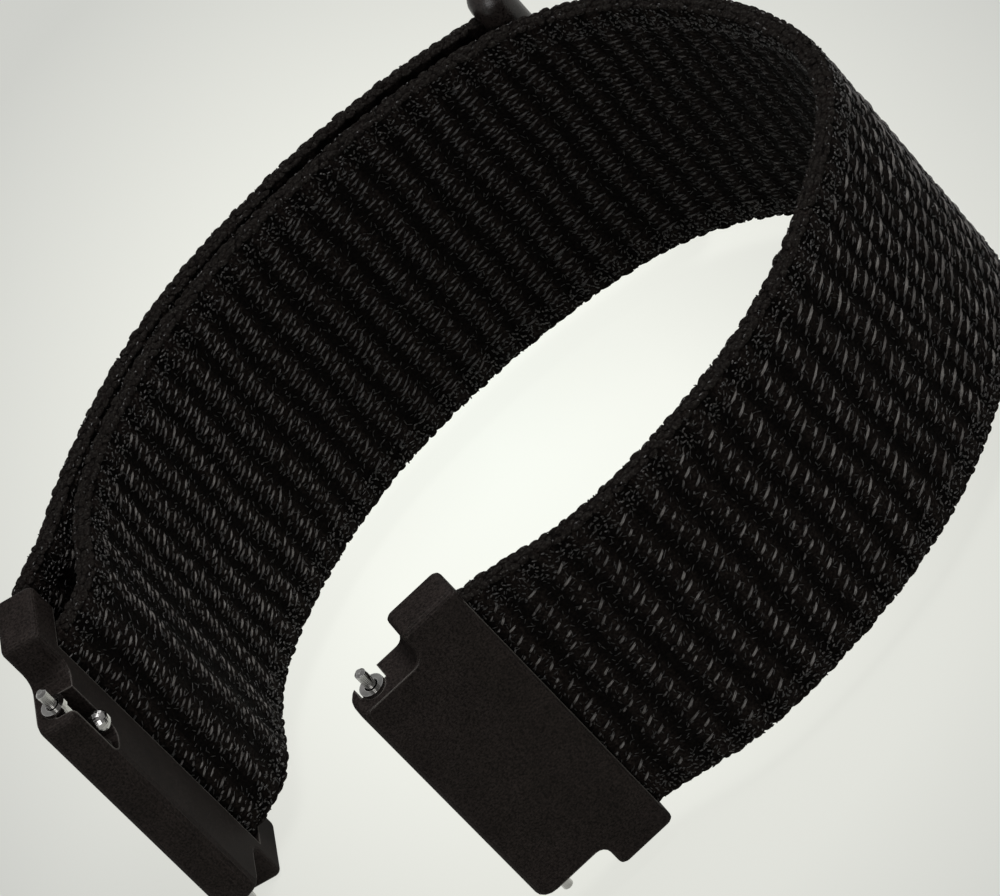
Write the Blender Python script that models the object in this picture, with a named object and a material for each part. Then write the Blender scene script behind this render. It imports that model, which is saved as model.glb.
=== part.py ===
"""Hook and loop watch strap for a 22 mm lug width, closed into its loop and standing on its edge.

The band is one woven nylon strip. One end is held in the housing of adapter A. From there it
goes round the wrist, through the frame of adapter B, round the steel bar in that frame and back
over its own outer side, where hooks under its free end grip the loops of the cloth. A stop bar
across the free end keeps it from slipping back through the frame. Each adapter carries a
quick release spring bar, whose knob pulls one tip in.

The width of the band runs along Z, so that every bend of the cloth and every pivot is about a
vertical axis. Lengths are in metres. The spring bars of the two adapters lie on the frame's X
axis while the loop is laid out, and the whole strap then moves so that the origin is at the
bottom centre of its box.
"""

import math

import bmesh
import bpy
import numpy as np
from mathutils import Matrix, Vector

# Loop, seen from above with the watch's place at the front.
PIN_SPACING = 0.0269
LOOP_WIDTH = 0.0530
LOOP_DEPTH = 0.0545
LEAN_A = math.radians(38.5)
LEAN_B = math.radians(30.7)
# Places on the middle of the band from adapter B round to adapter A, as shares of the width
# and depth of the loop, measured from the middle between the two spring bars.
LOOP_SHARES = (
    (-0.273, 0.157),
    (-0.317, 0.254),
    (-0.341, 0.432),
    (-0.294, 0.608),
    (-0.195, 0.761),
    (-0.065, 0.891),
    (0.092, 0.979),
    (0.275, 0.993),
    (0.456, 0.948),
    (0.603, 0.846),
    (0.657, 0.670),
    (0.643, 0.488),
    (0.569, 0.322),
    (0.451, 0.181),
)
# Places on the middle of the doubled-back layer between the frame and the meeting of the
# layers, as the same shares but measured from the frame's bar.
TAIL_SHARES = (
    (-0.0606, 0.0484),
    (-0.0566, 0.1155),
    (-0.0596, 0.1775),
)
# Distances along the band from the frame's bar, as shares of the depth of the loop: where the
# band bends at the back, where the two layers meet, where the doubled-back layer bends and
# where the stop bar holds its end.
FLEX_SHARE = 1.541
MERGE_SHARE = 0.290
TAIL_MIDDLE_SHARE = 0.349
TAIL_END_SHARE = 0.670
TAIL_STOP_SHARE = 1.0335

# The gap between the watch's lugs, which the whole width follows.
LUG_WIDTH = 0.0220

# Band.
BAND_OVER_LUGS = 0.0012
BAND_THICKNESS = 0.0016
BAND_RIM = 0.0005
TAIL_THICKNESS = 0.0011
HOOK_THICKNESS = 0.0004
HOOK_WIDTH = 0.0200
HOOK_TO_STOP = 0.0027
HOOK_MARGIN = 0.0008
HOOK_GAP = 0.0001
CLOTH_GAP = 0.00025
TAIL_PULL = 0.0050
TAIL_EXIT = math.radians(118.0)
TAIL_OPEN = math.radians(35.0)
FOLD_CLEAR = math.radians(5.0)

# Spring bars, two alike.
TUBE_DIAMETER = 0.0015
TUBE_BORE = 0.0011
FLANGE_DIAMETER = 0.0018
FLANGE_THICKNESS = 0.0004
TIP_DIAMETER = 0.0008
TIP_LENGTH = 0.0015
TIP_CHAMFER = 0.0002
TIP_PLAY = 0.0001
COLLAR_DIAMETER = 0.0009
COLLAR_LENGTH = 0.0008
SHANK_LENGTH = 0.0025
KNOB_DIAMETER = 0.0016
KNOB_STEM_DIAMETER = 0.0006
KNOB_STAND = 0.0015
KNOB_DEPTH = 0.0029
KNOB_TRAVEL = 0.0013
KNOB_SLOT_WIDTH = 0.0008
KNOB_SLOT_PLAY = 0.0002
KNOB_SEAT_GAP = 0.0001
SPRING_DIAMETER = 0.00085
SPRING_WIRE = 0.00014
SPRING_TURNS = 14
SPRING_END_GAP = 0.0001

# Housings of the two adapters. Lengths along the band are measured from the spring bar.
LUG_PLAY = 0.0003
HOUSING_THICKNESS = 0.0030
EAR_WALL_A = 0.00145
EAR_WALL_B = 0.0026
NOSE_LENGTH = 0.0018
NOSE_INNER_ROUND = 0.0012
NOSE_OUTER_ROUND = 0.0007
STEP_PLACE_A = 0.0035
END_PLACE_A = 0.0080
STEP_PLACE_B = 0.0029
END_PLACE_B = 0.0078
EDGE_ROUND = 0.0004
END_ROUND = 0.0005
STEP_FILLET = 0.0011
BORE_PLAY = 0.00015
MOUTH_PLAY = 0.00015
MOUTH_OFFSET = 0.0003
MOUTH_DEPTH = 0.0036
HEM_PIN_DIAMETER = 0.0008
HEM_PIN_SEAT = 0.0009
HEM_PIN_PLAY = 0.0001
HEM_PIN_INSET = 0.0012
WINDOW_WIDTH = 0.0021
WINDOW_END_PLAY = 0.0002
CROSS_BAR_DIAMETER = 0.0013
CROSS_BAR_SEAT = 0.0012
CROSS_BAR_INSET = 0.0013
FOLD_GAP = 0.0001
FRAME_SLOT_GAP = 0.00025
FRAME_SIDE_GAP = 0.0003

# Stop bar across the free end of the band.
STOP_DIAMETER = 0.0030
STOP_OVERHANG_TOP = 0.00245
STOP_OVERHANG_BOTTOM = 0.0015
STOP_SLOT_DEPTH = 0.0013
STOP_SLOT_GAP = 0.00015
STOP_SIDE_GAP = 0.0003

OVERRUN = 0.0010
# How finely the cloth is divided along its length, and where the round end of a stretch has
# its stations, as shares of its radius.
BACK_STATIONS = 56
FRONT_STATIONS = 36
FOLD_STATIONS = 12
NEAR_STATIONS = 16
TAIL_STATIONS = 14
LAID_STATIONS = 12
NOSE_SHARES = (0.35, 0.7, 0.92)
ROUND_STEPS = 24
SMALL_ROUND_STEPS = 16
BEVEL_STEPS = 4
RING_STEPS = 4
DOME_STEPS = 6
BALL_STEPS = 10
ROUTE_POINTS = 900
SPRING_TURN_POINTS = 9
WINDOW_ROUND_SHARE = 2 / 3
RIM_SHARE = 1 / 3
MERGE_DISTANCE = 0.000002
SMOOTH_ANGLE = math.radians(35.0)

BAND_WIDTH = LUG_WIDTH + BAND_OVER_LUGS
HOUSING_WIDTH_A = BAND_WIDTH + 2 * (CLOTH_GAP + EAR_WALL_A)
HOUSING_WIDTH_B = BAND_WIDTH + 2 * (FRAME_SIDE_GAP + EAR_WALL_B)
MIDDLE_HEIGHT = HOUSING_WIDTH_B / 2
NARROW_WIDTH = LUG_WIDTH - 2 * LUG_PLAY
HALF_BAND = BAND_THICKNESS / 2
FLEX_PLACE = LOOP_DEPTH * FLEX_SHARE
MERGE_PLACE = LOOP_DEPTH * MERGE_SHARE
TAIL_MIDDLE_PLACE = LOOP_DEPTH * TAIL_MIDDLE_SHARE
TAIL_END_PLACE = LOOP_DEPTH * TAIL_END_SHARE
TAIL_STOP_PLACE = LOOP_DEPTH * TAIL_STOP_SHARE


def clear_scene():
    """Remove everything that the new file starts with."""
    for obj in list(bpy.data.objects):
        bpy.data.objects.remove(obj, do_unlink=True)


def surface(name, colour, roughness, metallic=0.0):
    """A plain material with one colour, roughness and metallic value."""
    material = bpy.data.materials.new(name)
    material.use_nodes = True
    shader = material.node_tree.nodes["Principled BSDF"]
    shader.inputs["Base Color"].default_value = (*colour, 1.0)
    shader.inputs["Roughness"].default_value = roughness
    shader.inputs["Metallic"].default_value = metallic
    return material


def nylon_surface(name):
    return surface(name + "_nylon", (0.018, 0.017, 0.017), 0.85)


def plastic_surface(name):
    return surface(name + "_plastic", (0.028, 0.027, 0.026), 0.55)


def steel_surface(name):
    return surface(name + "_steel", (0.62, 0.61, 0.59), 0.22, 1.0)


def axis(name, parent, place, angle=0.0):
    """An empty that pieces hang on, with its world matrix, which Blender only works out later."""
    world = Matrix.Translation(Vector(place)) @ Matrix.Rotation(angle, 4, "Z")
    frame = bpy.data.objects.new(name, None)
    frame.empty_display_size = TUBE_DIAMETER
    bpy.context.scene.collection.objects.link(frame)
    if parent is None:
        frame.matrix_local = world
    else:
        frame.parent = parent["object"]
        frame.matrix_local = parent["world"].inverted() @ world
    return {"object": frame, "world": world}


def add_object(name, mesh, material, carrier, in_loop=False):
    """Link a mesh as a named piece on its carrier. With in_loop its points are loop places."""
    if in_loop:
        mesh.transform(carrier["world"].inverted())
    mesh.materials.append(material)
    mesh.shade_smooth()
    mesh.set_sharp_from_angle(angle=SMOOTH_ANGLE)
    obj = bpy.data.objects.new(name, mesh)
    bpy.context.scene.collection.objects.link(obj)
    obj.parent = carrier["object"]
    return obj


def mesh_of(shape, name):
    """The finished mesh of a bmesh, with its faces turned out."""
    bmesh.ops.recalc_face_normals(shape, faces=shape.faces)
    mesh = bpy.data.meshes.new(name)
    shape.to_mesh(mesh)
    shape.free()
    return mesh


def cutter(name, mesh, carrier):
    """A piece that only cuts others and is never rendered."""
    obj = bpy.data.objects.new(name, mesh)
    bpy.context.scene.collection.objects.link(obj)
    obj.parent = carrier["object"]
    obj.hide_render = True
    obj.display_type = "WIRE"
    return obj


def boolean(obj, other, operation="DIFFERENCE"):
    modifier = obj.modifiers.new(operation.lower() + "_" + other.name, "BOOLEAN")
    modifier.operation = operation
    modifier.object = other
    modifier.solver = "EXACT"


def block(low, high):
    """A box between two corners, as a bmesh."""
    shape = bmesh.new()
    bmesh.ops.create_cube(shape, size=1.0)
    size = Vector(high) - Vector(low)
    bmesh.ops.scale(shape, vec=size, verts=shape.verts)
    bmesh.ops.translate(shape, vec=(Vector(high) + Vector(low)) / 2, verts=shape.verts)
    return shape


def round_edges(shape, chosen, radius):
    bmesh.ops.bevel(
        shape,
        geom=chosen,
        offset=radius,
        offset_type="OFFSET",
        affect="EDGES",
        segments=BEVEL_STEPS,
        profile=0.5,
        material=-1,
    )


def runs_along_y(edge):
    return abs(edge.verts[0].co.y - edge.verts[1].co.y) > END_ROUND


def turned(profile, steps=ROUND_STEPS):
    """A solid turned about Z from (radius, height) points listed from bottom to top."""
    shape = bmesh.new()
    rings = []
    for radius, height in profile:
        if radius == 0:
            rings.append([shape.verts.new((0, 0, height))])
            continue
        rings.append([
            shape.verts.new((
                radius * math.cos(math.tau * i / steps),
                radius * math.sin(math.tau * i / steps),
                height,
            ))
            for i in range(steps)
        ])
    for lower, upper in zip(rings, rings[1:]):
        join_rings(shape, lower, upper, steps)
    for ring in (rings[0], rings[-1]):
        if len(ring) > 1:
            shape.faces.new(ring)
    return shape


def join_rings(shape, lower, upper, steps):
    """Faces between two rings of one turned solid. Either may be a single point on the axis."""
    for i in range(steps):
        j = (i + 1) % steps
        corners = [lower[i % len(lower)], lower[j % len(lower)]]
        for vertex in (upper[j % len(upper)], upper[i % len(upper)]):
            corners.append(vertex)
        shape.faces.new(list(dict.fromkeys(corners)))


# Routes of the band.


def smooth_route(points, start, end, count=ROUTE_POINTS):
    """Dense places on a cubic curve through the points, with given directions at its ends."""
    points = np.array(points, float)
    chord = np.hypot(*np.diff(points, axis=0).T)
    at = np.concatenate([[0.0], np.cumsum(chord)])
    n = len(points)
    matrix = np.zeros((n, n))
    right = np.zeros((n, 2))
    matrix[0, 0] = matrix[-1, -1] = 1.0
    right[0], right[-1] = start, end
    for i in range(1, n - 1):
        before, after = chord[i - 1], chord[i]
        matrix[i, i - 1 : i + 2] = after, 2 * (before + after), before
        rise_before = (points[i] - points[i - 1]) / before
        rise_after = (points[i + 1] - points[i]) / after
        right[i] = 3 * (after * rise_before + before * rise_after)
    slope = np.linalg.solve(matrix, right)
    places = np.linspace(0.0, at[-1], count)
    k = np.clip(np.searchsorted(at, places, side="right") - 1, 0, n - 2)
    h = chord[k][:, None]
    t = ((places - at[k]) / chord[k])[:, None]
    return (
        (2 * t**3 - 3 * t**2 + 1) * points[k]
        + (t**3 - 2 * t**2 + t) * h * slope[k]
        + (3 * t**2 - 2 * t**3) * points[k + 1]
        + (t**3 - t**2) * h * slope[k + 1]
    )


def arc_lengths(route):
    return np.concatenate([[0.0], np.cumsum(np.hypot(*np.diff(route, axis=0).T))])


def outward(route):
    """Unit normals on the left of the way from adapter B to adapter A, away from the wrist."""
    along = np.gradient(route, axis=0)
    along /= np.hypot(*along.T)[:, None]
    return np.stack([-along[:, 1], along[:, 0]], axis=1)


def stations(route, first, last, count):
    """Evenly spaced places and outward normals on a route between two distances along it."""
    reached = arc_lengths(route)
    normals = outward(route)
    wanted = np.linspace(first, last, count)
    places = np.stack([np.interp(wanted, reached, route[:, i]) for i in (0, 1)], axis=1)
    sides = np.stack([np.interp(wanted, reached, normals[:, i]) for i in (0, 1)], axis=1)
    return places, sides / np.hypot(*sides.T)[:, None]


def direction(angle):
    return np.array([math.cos(angle), math.sin(angle)])


PIN_A = np.array([PIN_SPACING / 2, 0.0])
PIN_B = np.array([-PIN_SPACING / 2, 0.0])
TURN_A = math.pi / 2 - LEAN_A
TURN_B = math.pi / 2 + LEAN_B
ALONG_A = direction(TURN_A)
ALONG_B = direction(TURN_B)
CROSS_BAR_PLACE = END_PLACE_B - CROSS_BAR_INSET
CROSS_BAR = PIN_B + CROSS_BAR_PLACE * ALONG_B
FOLD_INNER = CROSS_BAR_DIAMETER / 2 + FOLD_GAP
FOLD_MIDDLE = FOLD_INNER + HALF_BAND
FOLD_OUTER = FOLD_INNER + BAND_THICKNESS
HEM_PLACE = END_PLACE_A - MOUTH_DEPTH + CLOTH_GAP
OUTWARD_A = np.array([ALONG_A[1], -ALONG_A[0]])


def band_route():
    """The middle of the band from the frame's bar round to its hem in adapter A."""
    points = [(x * LOOP_WIDTH, y * LOOP_DEPTH) for x, y in LOOP_SHARES]
    heading = np.array(points[0]) - CROSS_BAR
    reach = np.hypot(*heading)
    lean = math.atan2(heading[1], heading[0]) + math.asin(FOLD_MIDDLE / reach)
    along = direction(lean)
    start = CROSS_BAR + FOLD_MIDDLE * np.array([along[1], -along[0]])
    middle = PIN_A + MOUTH_OFFSET * OUTWARD_A
    mouth = middle + END_PLACE_A * ALONG_A
    hem = middle + HEM_PLACE * ALONG_A
    route = smooth_route([start, *points, mouth, hem], along, -ALONG_A)
    return route, along


def tail_route(route):
    """The middle of the doubled-back layer, from the frame's bar to the stop bar."""
    start = CROSS_BAR + FOLD_MIDDLE * direction(TAIL_EXIT + math.pi / 2)
    free = [CROSS_BAR + (x * LOOP_WIDTH, y * LOOP_DEPTH) for x, y in TAIL_SHARES]
    height = BAND_THICKNESS + CLOTH_GAP
    laid, sides = stations(route, MERGE_PLACE, TAIL_STOP_PLACE, LAID_STATIONS)
    lift = STOP_DIAMETER / 2 + CLOTH_GAP + HALF_BAND - stop_shift() - height
    reach = TAIL_STOP_PLACE - MERGE_PLACE
    before_end = np.linspace(reach, 0.0, LAID_STATIONS)
    rise = np.clip(1 - before_end / TAIL_PULL, 0, 1)
    laid = laid + sides * (height + lift * rise**2)[:, None]
    end_way = laid[-1] - laid[-2]
    end_way /= np.hypot(*end_way)
    return smooth_route([start, *free, *laid], direction(TAIL_EXIT), end_way)


def ribbon(outline, width=BAND_WIDTH, rim=BAND_RIM):
    """A closed strip of cloth on edge about mid height, along the stations of its outline."""
    low = MIDDLE_HEIGHT - width / 2
    high = MIDDLE_HEIGHT + width / 2
    shape = bmesh.new()
    rings = []
    for place, side, near, far in zip(*outline):
        cut = min(rim, (far - near) * RIM_SHARE)
        corners = (
            (near, low + cut), (near + cut, low), (far - cut, low), (far, low + cut),
            (far, high - cut), (far - cut, high), (near + cut, high), (near, high - cut),
        )
        rings.append([
            shape.verts.new((*(place + side * beside), height)) for beside, height in corners
        ])
    for ring, after in zip(rings, rings[1:]):
        for i in range(len(ring)):
            j = (i + 1) % len(ring)
            shape.faces.new((ring[i], ring[j], after[j], after[i]))
    shape.faces.new(rings[0])
    shape.faces.new(rings[-1])
    return shape


def with_nose(places, sides, near, far):
    """The same stations with the far end rounded about the last of them."""
    along = np.array([sides[-1][1], -sides[-1][0]])
    radius = (far[-1] - near[-1]) / 2
    middle = (far[-1] + near[-1]) / 2
    reach = radius * np.array(NOSE_SHARES)
    half = np.sqrt(radius**2 - reach**2)
    places = np.vstack([places, places[-1] + reach[:, None] * along])
    sides = np.vstack([sides, np.repeat(sides[-1:], len(reach), axis=0)])
    return places, sides, np.append(near, middle - half), np.append(far, middle + half)


def strip(route, first, last, count, inner=-HALF_BAND, outer=HALF_BAND, nose=False):
    """The outline of a stretch of cloth, ready for a ribbon. A nose rounds its far end."""
    places, sides = stations(route, first, last, count)
    near, far = np.full(count, inner), np.full(count, outer)
    return with_nose(places, sides, near, far) if nose else (places, sides, near, far)


def pivot_on(route, place, offset=0.0):
    """The point on a route where the cloth bends, moved out by offset."""
    places, sides = stations(route, place, place, 1)
    return places[0] + sides[0] * offset


def raised(point, height=MIDDLE_HEIGHT):
    return (point[0], point[1], height)


# Band pieces.


def add_cloth(name, shape, carrier):
    return add_object(name, mesh_of(shape, name), nylon_surface(name), carrier, in_loop=True)


def back_band(route, carrier):
    outline = strip(route, 0.0, FLEX_PLACE, BACK_STATIONS, nose=True)
    add_cloth("strap_back", ribbon(outline), carrier)


def front_band(route, carrier):
    """The stretch from the bend at the back to the hem, with the hem's bore for its pin."""
    first = FLEX_PLACE + HALF_BAND + CLOTH_GAP
    outline = strip(route, first, arc_lengths(route)[-1], FRONT_STATIONS)
    band = add_cloth("strap_front", ribbon(outline), carrier)
    radius = HEM_PIN_DIAMETER / 2 + HEM_PIN_PLAY
    reach = BAND_WIDTH / 2 + OVERRUN
    mesh = mesh_of(turned(((radius, -reach), (radius, reach)), SMALL_ROUND_STEPS), "hem_bore")
    place = PIN_A + MOUTH_OFFSET * OUTWARD_A + (HEM_PLACE + HEM_PIN_INSET) * ALONG_A
    mesh.transform(carrier["world"].inverted() @ Matrix.Translation(raised(place)))
    boolean(band, cutter("hem_bore_cutter", mesh, carrier))


def tail_near(along, tail, last, carrier):
    """The cloth round the cross bar and on to the first bend of the doubled-back layer.

    Round the bar it stops short of the band on the wrist side, so that the tail can open.
    """
    main_way = math.atan2(along[1], along[0])
    first = main_way - math.pi / 2 - TAIL_OPEN - FOLD_CLEAR
    turn = np.linspace(first, TAIL_EXIT - math.pi * 3 / 2, FOLD_STATIONS)[:-1]
    round_sides = np.stack([np.cos(turn), np.sin(turn)], axis=1)
    places, sides, near, far = strip(tail, 0.0, last, NEAR_STATIONS, nose=True)
    places = np.vstack([CROSS_BAR + round_sides * FOLD_MIDDLE, places])
    sides = np.vstack([round_sides, sides])
    near = np.append(np.full(len(turn), near[0]), near)
    far = np.append(np.full(len(turn), far[0]), far)
    add_cloth("tail_near", ribbon((places, sides, near, far)), carrier)


def tail_middle(tail, first, last, carrier):
    outline = strip(tail, first + HALF_BAND + CLOTH_GAP, last, TAIL_STATIONS, nose=True)
    add_cloth("tail_middle", ribbon(outline), carrier)


def tail_end(tail, first, last, carrier):
    """The thinner free end, and the strip of hooks under it."""
    start = first + HALF_BAND + CLOTH_GAP
    under = HALF_BAND - TAIL_THICKNESS
    add_cloth("tail_end", ribbon(strip(tail, start, last, TAIL_STATIONS, under)), carrier)
    start += HOOK_MARGIN
    top = under - HOOK_GAP
    outline = strip(tail, start, last - HOOK_TO_STOP, TAIL_STATIONS, top - HOOK_THICKNESS, top)
    add_cloth("hook_patch", ribbon(outline, HOOK_WIDTH, HOOK_GAP), carrier)


def stop_bar(tail, place, carrier):
    """A round-ended moulded bar, slotted on one side for the end of the band."""
    name = "pull_tab"
    radius = STOP_DIAMETER / 2
    low = -BAND_WIDTH / 2 - STOP_OVERHANG_BOTTOM
    high = BAND_WIDTH / 2 + STOP_OVERHANG_TOP
    dome = [math.pi / 2 * i / DOME_STEPS for i in range(DOME_STEPS + 1)]
    lower = [(radius * math.sin(a), low + radius * (1 - math.cos(a))) for a in dome]
    upper = [(radius * math.sin(a), high - radius * (1 - math.cos(a))) for a in reversed(dome)]
    places, sides = stations(tail, place, place, 1)
    along = np.array([sides[0][1], -sides[0][0]])
    centre = places[0] + along * (radius - STOP_SLOT_DEPTH) + sides[0] * stop_shift()
    turn = math.atan2(along[1], along[0])
    world = Matrix.Translation(raised(centre)) @ Matrix.Rotation(turn, 4, "Z")
    mesh = mesh_of(turned(lower + upper), name)
    mesh.transform(world)
    bar = add_object(name, mesh, plastic_surface(name), carrier, in_loop=True)
    slot_half = TAIL_THICKNESS / 2 + STOP_SLOT_GAP
    side = HALF_BAND - TAIL_THICKNESS / 2 - stop_shift()
    reach = BAND_WIDTH / 2 + STOP_SIDE_GAP
    shape = block(
        (-radius - OVERRUN, side - slot_half, -reach),
        (STOP_SLOT_DEPTH + STOP_SLOT_GAP - radius, side + slot_half, reach),
    )
    mesh = mesh_of(shape, "stop_slot")
    mesh.transform(carrier["world"].inverted() @ world)
    boolean(bar, cutter("stop_slot_cutter", mesh, carrier))


def stop_shift():
    """How far the middle of the stop bar lies outside the middle of the band's end."""
    return HALF_BAND - TAIL_THICKNESS / 2


# Adapter housings, in their own frame: X along the band from the spring bar, Z up, and the
# side towards the wrist at inner_side times Y.


def ring(low, high, half, radii, split):
    """Points of one cross-section of a housing, round from the outer to the wrist side."""
    outer, inner = radii
    rim = min(half, EDGE_ROUND)
    points = [(max(split, low + rim), -half)]
    for radius, corner, start in (
        (outer, (low + outer, outer - half), 3),
        (inner, (low + inner, half - inner), 2),
    ):
        for i in range(RING_STEPS + 1):
            turn = math.pi / 2 * (start - i / RING_STEPS)
            x, y = corner
            points.append((x + radius * math.cos(turn), y + radius * math.sin(turn)))
    points.append((max(split, low + rim), half))
    for corner, start in (((high - rim, half - rim), 1), ((high - rim, rim - half), 0)):
        for i in range(RING_STEPS + 1):
            turn = math.pi / 2 * (start - i / RING_STEPS)
            x, y = corner
            points.append((x + rim * math.cos(turn), y + rim * math.sin(turn)))
    return points


def quarter():
    """Sines and cosines through a quarter turn, for rounding an end."""
    turns = [math.pi / 2 * i / BEVEL_STEPS for i in range(BEVEL_STEPS + 1)]
    return [(math.sin(turn), 1 - math.cos(turn)) for turn in turns]


def housing_sections(step, end, wide):
    """Cross-sections from the middle of a housing up to its end, as (height, ring) pairs."""
    half = HOUSING_THICKNESS / 2
    nose = (NOSE_OUTER_ROUND, NOSE_INNER_ROUND)
    rim = (EDGE_ROUND, EDGE_ROUND)
    split = step - STEP_FILLET + EDGE_ROUND
    top = NARROW_WIDTH / 2
    sections = [
        (top - END_ROUND + END_ROUND * rise,
         ring(-NOSE_LENGTH + END_ROUND * back, end, half, nose, split))
        for rise, back in quarter()
    ]
    sections += [
        (top + STEP_FILLET * back,
         ring(step - STEP_FILLET + STEP_FILLET * rise, end, half, rim, split))
        for rise, back in quarter()
    ]
    for rise, back in quarter():
        inset = END_ROUND * back
        height = wide / 2 - END_ROUND + END_ROUND * rise
        small = (EDGE_ROUND, EDGE_ROUND)
        sections.append((height, ring(step + inset, end - inset, half - inset, small, split)))
    return sections


def housing_body(name, carrier, step, end, wide, inner_side):
    """The narrow part between the lugs and the wider part that holds the band, in one piece."""
    upper = housing_sections(step, end, wide)
    lower = [(-height, points) for height, points in reversed(upper)]
    shape = bmesh.new()
    rings = [
        [shape.verts.new((x, inner_side * y, height)) for x, y in points]
        for height, points in lower + upper
    ]
    for near, far in zip(rings, rings[1:]):
        for i in range(len(near)):
            j = (i + 1) % len(near)
            shape.faces.new((near[i], near[j], far[j], far[i]))
    shape.faces.new(rings[0])
    shape.faces.new(rings[-1])
    bmesh.ops.remove_doubles(shape, verts=shape.verts, dist=MERGE_DISTANCE)
    bmesh.ops.dissolve_degenerate(shape, edges=shape.edges, dist=MERGE_DISTANCE)
    return add_object(name, mesh_of(shape, name), plastic_surface(name), carrier)


def cut_bore(body, name, carrier):
    """The bore that the spring bar lies in, through both ends of the narrow part."""
    radius = TUBE_DIAMETER / 2 + BORE_PLAY
    reach = LUG_WIDTH / 2 + OVERRUN
    shape = turned(((radius, -reach), (radius, reach)), SMALL_ROUND_STEPS)
    boolean(body, cutter(name + "_bore_cutter", mesh_of(shape, name + "_bore"), carrier))


def cut_window(body, name, carrier, inner_side):
    """The window on the wrist side in which the knob stands, open at the top end."""
    bottom = knob_height() - KNOB_TRAVEL - KNOB_DIAMETER / 2 - WINDOW_END_PLAY
    top = LUG_WIDTH / 2 + OVERRUN
    depth = HOUSING_THICKNESS / 2 + OVERRUN
    half = WINDOW_WIDTH / 2
    low, high = sorted((0.0, inner_side * depth))
    shape = block((-half, low, bottom), (half, high, top))
    bottom_edges = [e for e in shape.edges if runs_along_y(e) and e.verts[0].co.z < top - OVERRUN]
    round_edges(shape, bottom_edges, half * WINDOW_ROUND_SHARE)
    boolean(body, cutter(name + "_window_cutter", mesh_of(shape, name + "_window"), carrier))


def knob_height():
    """Height of the knob's middle above the middle of the spring bar."""
    return NARROW_WIDTH / 2 - KNOB_DEPTH


def housing_a(carrier):
    """Adapter A: a housing with a mouth that the hemmed end of the band sits in."""
    name = "housing_a"
    body = housing_body(name, carrier, STEP_PLACE_A, END_PLACE_A, HOUSING_WIDTH_A, 1)
    cut_bore(body, name, carrier)
    cut_window(body, name, carrier, 1)
    half = HALF_BAND + MOUTH_PLAY
    reach = BAND_WIDTH / 2 + CLOTH_GAP
    low = (END_PLACE_A - MOUTH_DEPTH, -MOUTH_OFFSET - half, -reach)
    high = (END_PLACE_A + OVERRUN, half - MOUTH_OFFSET, reach)
    shape = block(low, high)
    boolean(body, cutter("mouth_cutter", mesh_of(shape, "mouth"), carrier))
    radius = HEM_PIN_DIAMETER / 2 + HEM_PIN_PLAY
    seat = reach + HEM_PIN_SEAT
    shape = turned(((radius, -seat), (radius, seat)), SMALL_ROUND_STEPS)
    place = (HEM_PLACE + HEM_PIN_INSET, -MOUTH_OFFSET, 0)
    bmesh.ops.translate(shape, vec=place, verts=shape.verts)
    boolean(body, cutter("hem_seat_cutter", mesh_of(shape, "hem_seat"), carrier))


def hem_pin(carrier):
    """The steel pin through the hem, seated in a blind hole at each end of the mouth."""
    name = "hem_pin"
    half = BAND_WIDTH / 2 + CLOTH_GAP + HEM_PIN_SEAT - HEM_PIN_PLAY
    radius = HEM_PIN_DIAMETER / 2
    shape = turned(((radius, -half), (radius, half)), SMALL_ROUND_STEPS)
    place = (HEM_PLACE + HEM_PIN_INSET, -MOUTH_OFFSET, 0)
    bmesh.ops.translate(shape, vec=place, verts=shape.verts)
    add_object(name, mesh_of(shape, name), steel_surface(name), carrier)


def housing_b(carrier):
    """Adapter B: a frame with a slot for the band and seats for the cross bar."""
    name = "housing_b"
    body = housing_body(name, carrier, STEP_PLACE_B, END_PLACE_B, HOUSING_WIDTH_B, -1)
    cut_bore(body, name, carrier)
    cut_window(body, name, carrier, -1)
    reach = BAND_WIDTH / 2 + FRAME_SIDE_GAP
    depth = HOUSING_THICKNESS / 2 + OVERRUN
    wall = CROSS_BAR_PLACE - FOLD_OUTER - FRAME_SLOT_GAP
    shape = block((wall, -depth, -reach), (END_PLACE_B + OVERRUN, depth, reach))
    boolean(body, cutter("frame_slot_cutter", mesh_of(shape, "frame_slot"), carrier))
    radius = CROSS_BAR_DIAMETER / 2 + HEM_PIN_PLAY
    seat = reach + CROSS_BAR_SEAT
    shape = turned(((radius, -seat), (radius, seat)), SMALL_ROUND_STEPS)
    bmesh.ops.translate(shape, vec=(CROSS_BAR_PLACE, 0, 0), verts=shape.verts)
    boolean(body, cutter("cross_bar_seat_cutter", mesh_of(shape, "bar_seat"), carrier))


def cross_bar(carrier):
    """The steel bar of adapter B that the band is folded round."""
    name = "cross_bar"
    half = BAND_WIDTH / 2 + FRAME_SIDE_GAP + CROSS_BAR_SEAT - HEM_PIN_PLAY
    radius = CROSS_BAR_DIAMETER / 2
    shape = turned(((radius, -half), (radius, half)), ROUND_STEPS)
    bmesh.ops.translate(shape, vec=(CROSS_BAR_PLACE, 0, 0), verts=shape.verts)
    add_object(name, mesh_of(shape, name), steel_surface(name), carrier)


# Quick release spring bar, about its own axis with its middle at the origin.


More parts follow.
